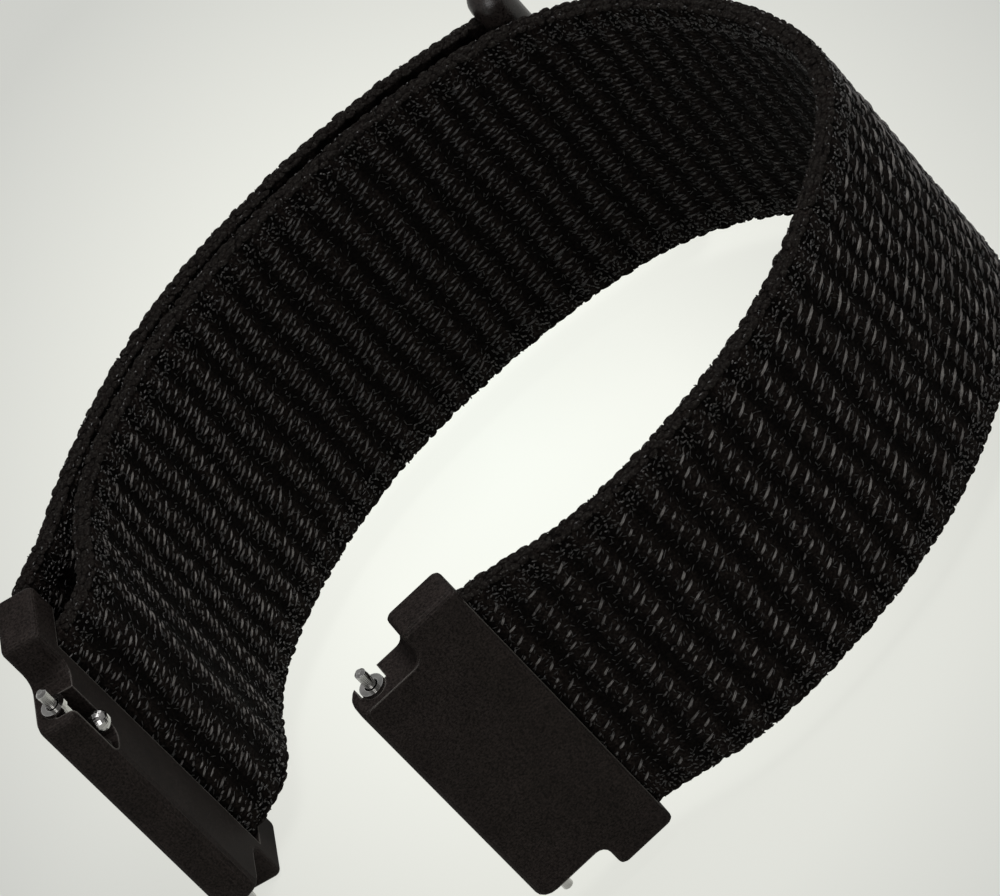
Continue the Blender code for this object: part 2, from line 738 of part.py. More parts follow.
def bar_tube(mark, carrier, inner_side):
    """The tube with a flange at each end and the slot that the knob's stem slides in."""
    name = f"bar_tube_{mark}"
    outer, bore = TUBE_DIAMETER / 2, TUBE_BORE / 2
    flange, end = FLANGE_DIAMETER / 2, LUG_WIDTH / 2
    neck = end - FLANGE_THICKNESS
    shape = turned((
        (flange, -end), (flange, -neck), (outer, -neck), (outer, neck), (flange, neck), (flange, end),
    ))
    tube = add_object(name, mesh_of(shape, name), steel_surface(name), carrier)
    tip = TIP_DIAMETER / 2 + TIP_PLAY
    top = end - FLANGE_THICKNESS
    shape = turned((
        (bore, -end - OVERRUN), (bore, top), (tip, top), (tip, end + OVERRUN),
    ), SMALL_ROUND_STEPS)
    boolean(tube, cutter(name + "_bore_cutter", mesh_of(shape, name + "_bore"), carrier))
    half = KNOB_SLOT_WIDTH / 2
    stem = KNOB_STEM_DIAMETER / 2 + KNOB_SLOT_PLAY
    low, high = sorted((0.0, inner_side * (outer + OVERRUN)))
    shape = block(
        (-half, low, knob_height() - KNOB_TRAVEL - stem),
        (half, high, knob_height() + stem + KNOB_TRAVEL),
    )
    boolean(tube, cutter(name + "_slot_cutter", mesh_of(shape, name + "_slot"), carrier))


def plunger_bottom():
    return knob_height() - KNOB_STEM_DIAMETER / 2 - COLLAR_LENGTH


def bar_plunger(mark, carrier, middle):
    """The sliding tip, with its rod inside the tube and the collar that the spring pushes."""
    name = f"bar_plunger_{mark}"
    rod, collar, end = TIP_DIAMETER / 2, COLLAR_DIAMETER / 2, LUG_WIDTH / 2
    bottom = plunger_bottom()
    shape = turned((
        (collar, bottom), (collar, bottom + COLLAR_LENGTH), (rod, bottom + COLLAR_LENGTH),
        (rod, end + TIP_LENGTH - TIP_CHAMFER), (rod - TIP_CHAMFER, end + TIP_LENGTH),
    ), SMALL_ROUND_STEPS)
    bmesh.ops.translate(shape, vec=(0, 0, -middle), verts=shape.verts)
    add_object(name, mesh_of(shape, name), steel_surface(name), carrier)


def bar_knob(mark, carrier, middle, inner_side):
    """The ball on its stem, standing out of the tube towards the wrist."""
    name = f"bar_knob_{mark}"
    ball, stem = KNOB_DIAMETER / 2, KNOB_STEM_DIAMETER / 2
    foot = TIP_DIAMETER / 2 + KNOB_SEAT_GAP
    neck = math.asin(stem / ball)
    arc = [neck + (math.pi - neck) * i / BALL_STEPS for i in range(BALL_STEPS)]
    profile = [(stem, foot)]
    profile += [(ball * math.sin(a), KNOB_STAND - ball * math.cos(a)) for a in arc]
    profile.append((0, KNOB_STAND + ball))
    shape = turned(profile, SMALL_ROUND_STEPS)
    turn = Matrix.Rotation(-inner_side * math.pi / 2, 4, "X")
    bmesh.ops.transform(shape, matrix=turn, verts=shape.verts)
    bmesh.ops.translate(shape, vec=(0, 0, knob_height() - middle), verts=shape.verts)
    add_object(name, mesh_of(shape, name), steel_surface(name), carrier)


def bar_fixed_tip(mark, carrier):
    """The tip pressed into the lower end of the tube."""
    name = f"bar_fixed_tip_{mark}"
    end, tip = LUG_WIDTH / 2, TIP_DIAMETER / 2
    shank = TUBE_BORE / 2 - TIP_PLAY
    shape = turned((
        (tip - TIP_CHAMFER, -end - TIP_LENGTH), (tip, -end - TIP_LENGTH + TIP_CHAMFER),
        (tip, -end - KNOB_SEAT_GAP), (shank, -end - KNOB_SEAT_GAP), (shank, -end + SHANK_LENGTH),
    ), SMALL_ROUND_STEPS)
    add_object(name, mesh_of(shape, name), steel_surface(name), carrier)


def bar_spring(mark, carrier):
    """The coil between the fixed tip's shank and the plunger's collar."""
    name = f"bar_spring_{mark}"
    low = -LUG_WIDTH / 2 + SHANK_LENGTH + SPRING_END_GAP + SPRING_WIRE / 2
    high = plunger_bottom() - SPRING_END_GAP - SPRING_WIRE / 2
    radius = (SPRING_DIAMETER - SPRING_WIRE) / 2
    count = SPRING_TURNS * SPRING_TURN_POINTS + 1
    curve = bpy.data.curves.new(name, "CURVE")
    curve.dimensions = "3D"
    curve.bevel_depth = SPRING_WIRE / 2
    curve.bevel_resolution = 1
    curve.use_fill_caps = True
    line = curve.splines.new("POLY")
    line.points.add(count - 1)
    for i, point in enumerate(line.points):
        turn = math.tau * i / SPRING_TURN_POINTS
        share = i / (count - 1)
        point.co = (
            radius * math.cos(turn), radius * math.sin(turn), low + share * (high - low), 1.0
        )
    curve.materials.append(steel_surface(name))
    obj = bpy.data.objects.new(name, curve)
    bpy.context.scene.collection.objects.link(obj)
    obj.parent = carrier["object"]
    gap = (high - low) / SPRING_TURNS - SPRING_WIRE
    print(f"{name}: least gap between turns {gap * 1000:.3f} mm")


def spring_bar(mark, carrier, inner_side):
    """All pieces of one spring bar. Its plunger and knob hang on an axis of their own."""
    bar_tube(mark, carrier, inner_side)
    bar_fixed_tip(mark, carrier)
    bar_spring(mark, carrier)
    place = carrier["world"] @ Vector((0, 0, knob_height()))
    turn = carrier["world"].to_euler().z
    slide = axis(f"plunger_axis_{mark}", carrier, place, turn)
    bar_plunger(mark, slide, knob_height())
    bar_knob(mark, slide, knob_height(), inner_side)


def settle_origin(root):
    """Move the whole strap so that its box has its bottom centre at the origin."""
    bpy.context.view_layer.update()
    graph = bpy.context.evaluated_depsgraph_get()
    corners = []
    for obj in bpy.data.objects:
        if obj.type in ("MESH", "CURVE") and not obj.hide_render:
            seen = obj.evaluated_get(graph)
            mesh = seen.to_mesh()
            corners += [seen.matrix_world @ v.co for v in mesh.vertices]
            seen.to_mesh_clear()
    points = np.array(corners)
    low, high = points.min(axis=0), points.max(axis=0)
    shift = Vector((-(low[0] + high[0]) / 2, -(low[1] + high[1]) / 2, -low[2]))
    root["object"].location = shift
    print("box in mm", [round(float(v) * 1000, 2) for v in high - low])
    print("shift in mm", [round(v * 1000, 3) for v in shift])
    return shift


def main():
    clear_scene()
    route, along = band_route()
    tail = tail_route(route)
    root = axis("strap_root", None, (0, 0, 0))
    flex = axis("flex_axis", root, raised(pivot_on(route, FLEX_PLACE)))
    frame_b = axis("cross_bar_axis", root, raised(CROSS_BAR))
    adapter_a = axis("adapter_a_frame", flex, raised(PIN_A), TURN_A)
    adapter_b = axis("adapter_b_frame", frame_b, raised(PIN_B), TURN_B)
    near = axis("tail_near_axis", root, raised(CROSS_BAR))
    scale = arc_lengths(tail)[-1] / TAIL_STOP_PLACE
    first, second, last = (
        place * scale for place in (TAIL_MIDDLE_PLACE, TAIL_END_PLACE, TAIL_STOP_PLACE)
    )
    middle = axis("tail_middle_axis", near, raised(pivot_on(tail, first)))
    end = axis("tail_end_axis", middle, raised(pivot_on(tail, second)))
    back_band(route, root)
    front_band(route, flex)
    tail_near(along, tail, first, near)
    tail_middle(tail, first, second, middle)
    tail_end(tail, second, last, end)
    stop_bar(tail, last, end)
    housing_a(adapter_a)
    hem_pin(adapter_a)
    spring_bar("a", adapter_a, 1)
    housing_b(adapter_b)
    cross_bar(adapter_b)
    spring_bar("b", adapter_b, -1)
    settle_origin(root)


main()
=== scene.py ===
# %% [markdown]
# # A hook and loop watch strap
#
# This lesson dresses a imported model of a woven watch strap. The model gives the places of all
# pieces, and the lesson gives them the threads, grain and gloss that the real ones have. Run the
# cells from the top, and read what each one prints.
#
# ## The imported model
# The model comes in as a fixed frame in metres.

# %% Load the imported model
import math

import bmesh
import bpy
import numpy as np
from mathutils import Matrix, Vector


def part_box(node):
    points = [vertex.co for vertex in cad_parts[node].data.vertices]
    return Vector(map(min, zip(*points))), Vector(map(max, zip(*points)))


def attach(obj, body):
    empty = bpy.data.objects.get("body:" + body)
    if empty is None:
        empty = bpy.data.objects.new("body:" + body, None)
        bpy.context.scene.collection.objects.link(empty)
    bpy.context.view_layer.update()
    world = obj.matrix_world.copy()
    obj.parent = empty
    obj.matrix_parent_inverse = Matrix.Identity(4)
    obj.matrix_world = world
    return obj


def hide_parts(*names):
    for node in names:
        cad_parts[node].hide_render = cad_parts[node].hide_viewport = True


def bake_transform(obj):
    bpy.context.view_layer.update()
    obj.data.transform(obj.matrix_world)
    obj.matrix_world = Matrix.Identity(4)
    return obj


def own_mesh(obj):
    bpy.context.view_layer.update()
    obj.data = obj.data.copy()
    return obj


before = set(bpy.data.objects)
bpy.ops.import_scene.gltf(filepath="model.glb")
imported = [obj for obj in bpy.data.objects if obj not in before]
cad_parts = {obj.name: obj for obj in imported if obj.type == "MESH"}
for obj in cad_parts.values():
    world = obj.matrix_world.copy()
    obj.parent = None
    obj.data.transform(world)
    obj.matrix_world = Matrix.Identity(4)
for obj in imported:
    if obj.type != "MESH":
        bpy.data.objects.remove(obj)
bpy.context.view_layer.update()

MM = 0.001

# %% [markdown]
# ## Camera
# A camera looks along its own minus Z. Its place and turn come from three angles: how far round
# the object it stands, how high, and how far it is rolled. The strap was photographed from above
# the back right, with the camera rolled so that the loop leans. A long lens from far away keeps
# the two ends of the strap at nearly the same scale.

# %% Camera
AZIMUTH, ELEVATION, ROLL = (math.radians(a) for a in (52.145, 38.141, 43.281))
DISTANCE, LENS = 0.57218, 311.9
TARGET = Vector((-0.001769, -0.000614, 0.014598))

forward = Vector((
    -math.sin(AZIMUTH) * math.cos(ELEVATION),
    math.cos(AZIMUTH) * math.cos(ELEVATION),
    -math.sin(ELEVATION),
))
level = Vector((forward.y, -forward.x, 0)).normalized()
upright = level.cross(forward)
across = level * math.cos(ROLL) - upright * math.sin(ROLL)
up = level * math.sin(ROLL) + upright * math.cos(ROLL)
camera = bpy.data.objects.new("camera", bpy.data.cameras.new("camera"))
bpy.context.scene.collection.objects.link(camera)
turn = Matrix((across, up, -forward)).transposed().to_4x4()
camera.matrix_world = Matrix.Translation(TARGET - forward * DISTANCE) @ turn
camera.data.lens = LENS
camera.data.clip_start, camera.data.clip_end = 0.01, 10.0
bpy.context.scene.camera = camera
print("camera at", [round(v, 3) for v in camera.location])

# %% [markdown]
# ## Nodes of a material
# A material is a small network of nodes. It can be drawn by hand in the Shader Editor. Here one
# call adds one node and joins its inputs, so that each network reads like a recipe and comes out
# the same every time.

# %% Helpers that add nodes
def new_material(name):
    """A material with an empty node tree, its tree and its output node."""
    material = bpy.data.materials.new(name)
    material.use_nodes = True
    tree = material.node_tree
    tree.nodes.clear()
    return material, tree, tree.nodes.new("ShaderNodeOutputMaterial")


def node(tree, kind, inputs=(), **settings):
    """Add a shader node. Inputs are (socket, value or output socket) pairs."""
    made = tree.nodes.new("ShaderNode" + kind)
    for name, value in settings.items():
        setattr(made, name, value)
    for socket, value in inputs:
        if isinstance(value, bpy.types.NodeSocket):
            tree.links.new(value, made.inputs[socket])
        else:
            made.inputs[socket].default_value = value
    return made


def maths(tree, operation, a, b=0.0, clamp=False):
    """The result of one Math node."""
    return node(tree, "Math", ((0, a), (1, b)), operation=operation, use_clamp=clamp).outputs[0]


print("helpers:", new_material.__name__, node.__name__, maths.__name__)

# %% [markdown]
# ## Grain, ramps and relief
# Yarn and moulded plastic both have a grain that is finer than any mesh. Noise that is read from
# the object's own coordinates gives it at a true size. A ramp turns the noise into colours or
# roughness, and a bump turns it into relief that only catches the light.

# %% Helpers for grain
def grain(tree, scale, detail=3.0, rough=0.6):
    """Noise in object space, with its size given as waves per metre."""
    place = node(tree, "TexCoord").outputs["Object"]
    return node(tree, "TexNoise", (
        ("Vector", place), ("Scale", scale), ("Detail", detail), ("Roughness", rough),
    )).outputs["Fac"]


def ramp(tree, fac, *stops):
    """A colour ramp from (place, grey or colour) stops."""
    made = node(tree, "ValToRGB", (("Fac", fac),))
    elements = made.color_ramp.elements
    while len(elements) < len(stops):
        elements.new(0.5)
    for element, (place, colour) in zip(elements, stops):
        element.position = place
        element.color = (*colour, 1) if hasattr(colour, "__len__") else (colour, colour, colour, 1)
    return made.outputs["Color"]


def product(tree, colour, other, share=1.0):
    """One colour darkened by another."""
    return node(tree, "Mix", ((0, share), (6, colour), (7, other)),
                data_type="RGBA", blend_type="MULTIPLY").outputs[2]


def bump(tree, height, distance, strength=1.0, normal=None):
    """The normal after a relief as deep as distance, on top of another normal if one is given."""
    pairs = [("Height", height), ("Distance", distance), ("Strength", strength)]
    if normal is not None:
        pairs.append(("Normal", normal))
    return node(tree, "Bump", pairs).outputs["Normal"]


print("helpers:", grain.__name__, ramp.__name__, product.__name__, bump.__name__)

# %% [markdown]
# ## Floor
# The strap stands on its edge on a plain pale floor. A plane with white paint would do, but the
# photo's floor is brightest in the middle and greyer towards the corners. So the floor carries a
# painted pool of light: its tone comes from the distance to the middle of the view, with painted
# shade towards the corners. It glows in that tone towards the camera and in reflections, and
# underneath it is plain paint that throws light back on the strap.

# %% Floor paint
FLOOR_GLOW = 0.94
FLOOR_REACH = 46 * MM
FLOOR_MIDDLE = TARGET + forward * (TARGET.z / -forward.z)
FLOOR_POOL_OF_LIGHT = (
    (0.0, (0.94, 0.97, 0.90)), (0.27, (0.905, 0.921, 0.855)), (0.6, (0.775, 0.783, 0.730)),
    (1.0, (0.600, 0.607, 0.575)),
)


def floor_material():
    """A painted pool of light on pale paint: brightest in the middle of the picture, greyer at its
    corners.
    """
    material, tree, output = new_material("floor_painted_light")
    place = node(tree, "TexCoord").outputs["Object"]
    offset = node(tree, "VectorMath", ((0, place), (1, FLOOR_MIDDLE)), operation="SUBTRACT").outputs[0]
    square = 0.0
    for axis in (across, up):
        reach = node(tree, "VectorMath", ((0, offset), (1, axis)), operation="DOT_PRODUCT")
        reach = reach.outputs["Value"]
        square = maths(tree, "ADD", maths(tree, "MULTIPLY", reach, reach), square)
    share = maths(tree, "DIVIDE", maths(tree, "SQRT", square), FLOOR_REACH, True)
    # painted light: the tone falls off from the middle like a pool of light, and glows towards the camera
    seen = ramp(tree, share, *FLOOR_POOL_OF_LIGHT)
    paint = node(tree, "BsdfDiffuse", (("Color", seen), ("Roughness", 0.5)))
    glow = node(tree, "Emission", (("Color", seen), ("Strength", 1.0)))
    path = node(tree, "LightPath")
    direct = maths(tree, "MAXIMUM", path.outputs["Is Camera Ray"], path.outputs["Is Glossy Ray"])
    shown = maths(tree, "MULTIPLY", direct, FLOOR_GLOW)
    mixed = node(tree, "MixShader", ((0, shown), (1, paint.outputs[0]), (2, glow.outputs[0])))
    tree.links.new(mixed.outputs[0], output.inputs[0])
    return material


FLOOR_PAINTED_LIGHT = floor_material()
print("the camera's middle meets the floor at", [round(v, 3) for v in FLOOR_MIDDLE])

# %% [markdown]
# The floor itself is one large flat face, wide enough that no view sees its end. It belongs to
# the stage and not to the strap.

# %% Floor
FLOOR_HALF = 2.0
shape = bmesh.new()
bmesh.ops.create_grid(shape, x_segments=1, y_segments=1, size=FLOOR_HALF)
mesh = bpy.data.meshes.new("floor")
shape.to_mesh(mesh)
shape.free()
mesh.materials.append(FLOOR_PAINTED_LIGHT)
floor = bpy.data.objects.new("floor", mesh)
bpy.context.scene.collection.objects.link(floor)
print("the floor is", 2 * FLOOR_HALF, "m wide")

# %% [markdown]
# ## Lamps
# Black cloth shows its weave only where a broad light glances off it. A studio hangs soft boxes
# round such an object. Square area lamps stand for them: one high over the strap, a faint one
# behind it and one in front, and a pale world fills the shadows.

# %% Lamps
LAMPS = (
    ("lamp_over", (0.15, 0.25, 0.8), 0.35, 9.0),
    ("lamp_back", (-0.3, 0.75, 0.3), 0.4, 0.8),
    ("lamp_front", (0.45, -0.65, 0.35), 0.5, 3.0),
)
FILL = 0.4

for name, place, size, power in LAMPS:
    data = bpy.data.lights.new(name, "AREA")
    data.shape, data.size, data.energy = "SQUARE", size, power
    lamp = bpy.data.objects.new(name, data)
    bpy.context.scene.collection.objects.link(lamp)
    lamp.location = place
    lamp.rotation_euler = (TARGET - Vector(place)).to_track_quat("-Z", "Y").to_euler()
    print(name, "is", size, "m wide and gives", power, "W")
world = bpy.data.worlds.new("studio")
bpy.context.scene.world = world
world.use_nodes = True
background = world.node_tree.nodes["Background"]
background.inputs["Color"].default_value = (1, 1, 1, 1)
background.inputs["Strength"].default_value = FILL
bpy.context.scene.view_settings.view_transform = "Standard"

# %% [markdown]
# ## The way of the band
# The band is one long strip on edge. Its middle follows a line on the floor, which could be drawn
# as a curve object. Here the line is needed as numbers, so it is given by places about four
# millimetres apart and joined by a smooth curve.

# %% Smooth curve through places
def smooth(places, count=12):
    """Dense places on a natural cubic curve through the given ones, in metres."""
    points = np.array(places, float) * MM
    n = len(points)
    matrix = 4 * np.eye(n) + np.eye(n, k=1) + np.eye(n, k=-1)
    matrix[0, 0] = matrix[-1, -1] = 2
    ahead = np.vstack([points[1:], points[-1:]])
    behind = np.vstack([points[:1], points[:-1]])
    slope = np.linalg.solve(matrix, 3 * (ahead - behind))
    t = np.linspace(0, 1, count, endpoint=False)[None, :, None]
    a, b = points[:-1, None], points[1:, None]
    da, db = slope[:-1, None], slope[1:, None]
    curve = (
        (2 * t**3 - 3 * t**2 + 1) * a + (t**3 - 2 * t**2 + t) * da
        + (3 * t**2 - 2 * t**3) * b + (t**3 - t**2) * db
    )
    return np.vstack([curve.reshape(-1, 2), points[-1:]])


print("three places become", len(smooth(((0, 0), (4, 1), (8, 0)))))

# %% [markdown]
# ## Laying cloth along a line
# Cloth comes flat from the loom, and so later cells make it flat: x along the band, y across it
# and z out of it. A Curve modifier could bend it, but it would need its object kept. Moving the
# points once, by their length along the line, leaves plain meshes.

# %% Line
MIDDLE = 14.5 * MM


class Line:
    """A line on the floor that cloth can be laid along, measured in metres from its start."""

    def __init__(self, points, start=0.0):
        step = np.hypot(*np.diff(points, axis=0).T)
        self.points = points
        self.at = start + np.concatenate([[0.0], np.cumsum(step)])
        along = np.gradient(points, self.at, axis=0)
        along /= np.hypot(*along.T)[:, None]
        self.side = np.stack([-along[:, 1], along[:, 0]], axis=1)

    def lay(self, shape):
        """Move a bmesh's flat points (along, across, out) to their places beside the line."""
        flat = np.array([v.co for v in shape.verts])
        where = np.stack([np.interp(flat[:, 0], self.at, self.points[:, i]) for i in (0, 1)], 1)
        side = np.stack([np.interp(flat[:, 0], self.at, self.side[:, i]) for i in (0, 1)], 1)
        where += side / np.hypot(*side.T)[:, None] * flat[:, 2:3]
        for vertex, (x, y), across_band in zip(shape.verts, where, flat[:, 1]):
            vertex.co = (x, y, MIDDLE - across_band)


print("the middle of the band is", round(MIDDLE / MM, 1), "mm above the floor")

# %% [markdown]
# ## The two lines
# One line runs from adapter B's bar round the wrist to adapter A. The other starts on the band,
# turns round the same bar in a short arc and runs back along the band's outer side. They are two
# lines because the doubled-back layer can be lifted from the band.

# %% Ways of the band and of the doubled-back tail
# Places in millimetres. BAR is the middle of the bar that the band turns round.
BAND_PLACES = (
    (-22.67, -21.97), (-21.93, -18.02), (-23.64, -14.37), (-25.21, -10.66), (-25.66, -6.64),
    (-25.36, -2.60), (-24.58, 1.38), (-23.30, 5.22), (-21.50, 8.86), (-19.29, 12.25),
    (-16.79, 15.44), (-14.06, 18.44), (-11.07, 21.18), (-7.82, 23.60), (-4.26, 25.52),
    (-0.39, 26.69), (3.64, 27.08), (7.69, 26.86), (11.68, 26.15), (15.55, 24.95),
    (19.24, 23.28), (22.59, 21.01), (25.18, 17.92), (26.66, 14.16), (27.34, 10.17),
    (27.51, 6.12), (27.20, 2.08), (26.31, -1.87), (24.84, -5.65), (22.98, -9.25),
    (20.83, -12.68), (18.25, -15.80), (15.07, -18.31), (11.76, -20.64), (9.17, -23.75),
)
TAIL_PLACES = (
    (-25.55, -22.34), (-27.07, -19.84), (-27.40, -16.99), (-27.16, -14.08), (-27.40, -11.16),
    (-27.51, -8.24), (-27.46, -5.31), (-27.20, -2.40), (-26.69, 0.48), (-25.95, 3.31),
    (-24.95, 6.06), (-23.70, 8.70), (-22.22, 11.23), (-20.57, 13.64), (-18.77, 15.95),
    (-16.86, 18.17), (-14.83, 20.27), (-12.68, 22.25), (-10.38, 24.07), (-8.01, 25.77),
    (-5.60, 27.44),
)
BAR = Vector((-24.182, -21.611, 14.5)) * MM
FOLD_RADIUS, FOLD_FROM, FOLD_TO = 1.55 * MM, math.radians(-13.4), math.radians(-152)
FOLD_LENGTH = FOLD_RADIUS * (FOLD_FROM - FOLD_TO)
BAND_END, TAIL_END = 137.8 * MM, 58.4 * MM
turns = np.linspace(FOLD_FROM, FOLD_TO, 24)[:-1]
fold = np.array(BAR.xy) + FOLD_RADIUS * np.stack([np.cos(turns), np.sin(turns)], axis=1)
band_line = Line(smooth(BAND_PLACES))
tail_line = Line(np.vstack([fold, smooth(TAIL_PLACES)]), start=-FOLD_LENGTH)
print("band", round(band_line.at[-1] / MM, 1), "mm, tail", round(tail_line.at[-1] / MM, 1), "mm")

# %% [markdown]
# ## Black yarn
# The real band is woven from black yarn. It could be a flat black, but black cloth looks black
# because light is lost between its fibres. So the shader gets a low specular level, and noise
# gives the paler fibres. The ribbed ground gets painted shade in its valleys, which a crest
# attribute on its points tells the material.

# %% Black yarn
BLACK_TONES = (
    (0.4, (0.0013, 0.0008, 0.0007)), (0.56, (0.0046, 0.0033, 0.0028)),
    (0.66, (0.0115, 0.0095, 0.0082)), (0.75, (0.024, 0.0205, 0.018)),
)
VALLEY_PAINTED_SHADE = (0.25, 0.22, 0.2)


def black_yarn(name, paler, ribbed=False):
    """Fuzzy black yarn. Ribbed cloth gets painted shade in the valleys, where its crest attribute is 0.
    """
    material, tree, output = new_material(name)
    fuzz_noise = grain(tree, 5200, 4.0, 0.75)
    place = node(tree, "TexCoord").outputs["Object"]
    loops = node(tree, "TexVoronoi", (("Vector", place), ("Scale", 3200.0)))
    tones = [(at, tuple(np.multiply(shade, paler))) for at, shade in BLACK_TONES]
    colour = ramp(tree, fuzz_noise, *tones)
    if ribbed:
        # painted shade: the colour darkens towards the valleys between the ribs
        crest = node(tree, "Attribute", attribute_name="crest").outputs["Fac"]
        colour = product(tree, colour, ramp(tree, crest, (0.15, VALLEY_PAINTED_SHADE), (0.8, (1, 1, 1))))
    rough = ramp(tree, grain(tree, 2500), (0.3, 0.75), (0.7, 0.95))
    relief = bump(tree, loops.outputs["Distance"], 0.00012, 0.8)
    relief = bump(tree, fuzz_noise, 0.00005, 0.7, relief)
    yarn = node(tree, "BsdfPrincipled", (
        ("Base Color", colour), ("Roughness", rough), ("Normal", relief),
        ("Specular IOR Level", 0.03),
    ))
    tree.links.new(yarn.outputs[0], output.inputs[0])
    return material


EDGE_YARN = black_yarn("edge_yarn", (1.5, 1.75, 1.8))
WOVEN_BLACK = black_yarn("woven_black", (1.0, 1.0, 1.0), ribbed=True)
print("black yarns:", EDGE_YARN.name, WOVEN_BLACK.name)

# %% [markdown]
# ## Grey yarn
# Floats of a shinier grey yarn lie on the black ground. A float is the stretch where a yarn
# passes over its neighbours. One material serves them all: each float carries its own shade as an
# attribute, a random tone with painted light and shade in it, and fine noise stands for the fibres.

# %% Grey yarn
GREY_TONES = (
    (0.0, (0.0024, 0.0017, 0.0014)), (0.5, (0.026, 0.0225, 0.0205)), (1.0, (0.105, 0.097, 0.091)),
)


def grey_yarn():
    """The floats: smoother yarn, each with its own shade from the shade attribute."""
    material, tree, output = new_material("grey_float_yarn")
    shade = node(tree, "Attribute", attribute_name="shade").outputs["Fac"]
    colour = ramp(tree, shade, *GREY_TONES)
    fibres = grain(tree, 14000, 2.0)
    dull = product(tree, colour, ramp(tree, fibres, (0.35, 0.1), (0.65, 1.0)), share=0.6)
    relief = bump(tree, fibres, 0.00005, 0.8)
    rough = ramp(tree, fibres, (0.3, 0.26), (0.7, 0.5))
    yarn = node(tree, "BsdfPrincipled", (
        ("Base Color", dull), ("Roughness", rough), ("Normal", relief), ("Specular IOR Level", 0.42),
    ))
    tree.links.new(yarn.outputs[0], output.inputs[0])
    return material


GREY_YARN = grey_yarn()
print("grey yarn:", GREY_YARN.name)

# %% [markdown]
# ## Pieces
# A finished piece is a mesh on an object at the origin. A mesh from a bmesh is shaded smooth, and
# only its sharp corners stay sharp.

# %% Helpers for pieces
SHARP = math.radians(50)


def finish_mesh(shape, name):
    """A mesh from a bmesh, smooth but for its sharp corners."""
    mesh = bpy.data.meshes.new(name)
    shape.to_mesh(mesh)
    shape.free()
    mesh.shade_smooth()
    mesh.set_sharp_from_angle(angle=SHARP)
    return mesh


def link(name, mesh, material):
    """Show a mesh as a piece, with its material."""
    piece = bpy.data.objects.new(name, mesh)
    bpy.context.scene.collection.objects.link(piece)
    mesh.materials.append(material)
    return piece


def triangles(*pieces):
    """The number of triangles in some pieces."""
    return sum(len(piece.data.loops) - 2 * len(piece.data.polygons) for piece in pieces)


print("corners over", round(math.degrees(SHARP)), "degrees stay sharp")

# %% [markdown]
# ## Rows of the weave
# The photo shows the floats in rows across the band, with a valley between two rows. The rows
# lie closer at some places than at others. So a few rows whose places are known are listed, and
# the others lie evenly between them. Each face of the band has rows of its own.

# %% Rows and ribs
RIB = 0.18 * MM
ROW_CLEAR = 0.05 * MM
SLOW_STRAY, QUICK_STRAY = 0.13 * MM, 0.11 * MM


class Rows:
    """Places of the rows of floats along the band, from a few rows whose places are known."""

    def __init__(self, numbers, places):
        self.numbers, self.places = np.array(numbers, float), np.array(places) * MM

    def place(self, number):
        return np.interp(number, self.numbers, self.places)

    def number(self, place):
        return np.interp(place, self.places, self.numbers)

    def between(self, first, last):
        """The numbers of the rows on a stretch, so that two stretches never share a row."""
        return np.arange(math.ceil(self.number(first + ROW_CLEAR)), math.floor(self.number(last)) + 1)


def wander(x, y):
    """How far the rows stray along the band in two waves, so that no row is ruler straight."""
    slow = SLOW_STRAY * np.sin(x / (9 * MM) + 1.2 * np.sin(y / (6 * MM)))
    return slow + QUICK_STRAY * np.sin(y / (1.9 * MM) + x / (3 * MM))


def rib(x, y, rows):
    """The depth of the valleys between the rows, zero on a row's crest."""
    return RIB * (np.cos(math.tau * rows.number(x + wander(x, y))) - 1) / 2


INNER_ROWS = Rows((-4, 0, 3, 8, 19, 56), (-6.7, 2.9, 11.6, 22.9, 49.6, 138.4))
OUTER_ROWS = Rows((-4, 49, 64), (-8.2, 100.5, 138.6))
print("rows on the band:", len(INNER_ROWS.between(0, BAND_END)), "inside and",
      len(OUTER_ROWS.between(0, BAND_END)), "outside")

# %% [markdown]
# ## The ground of the cloth
# Each stretch of cloth is a grid that Solidify makes thick, while it is still flat. Its faces
# rise and fall in ribs, one for each row of floats, and its long edges are rounded. A bump could
# fake the ribs, but their shadows and the edge's outline would be missing. The sheet is laid
# along its line only at the end.

# %% Cloth grid
WIDTH, THICK, THIN = 23.2 * MM, 1.6 * MM, 1.1 * MM
THIN_FROM, THIN_STEP = 38.4 * MM, 1.2 * MM
GRID_ALONG, GRID_ACROSS = 0.4 * MM, 0.48 * MM
EDGE_ROUND, EDGE_FLATTER = 0.7 * MM, 0.6
OUTER = THICK / 2


def full_inner(x):
    """The wrist side of the full cloth, out from its middle."""
    return 0 * x - THICK / 2


def tail_inner(x):
    """The wrist side of the tail, which steps up where its thinner free end begins."""
    return full_inner(x) + (THICK - THIN) * np.clip((x - THIN_FROM) / THIN_STEP + 0.5, 0, 1)


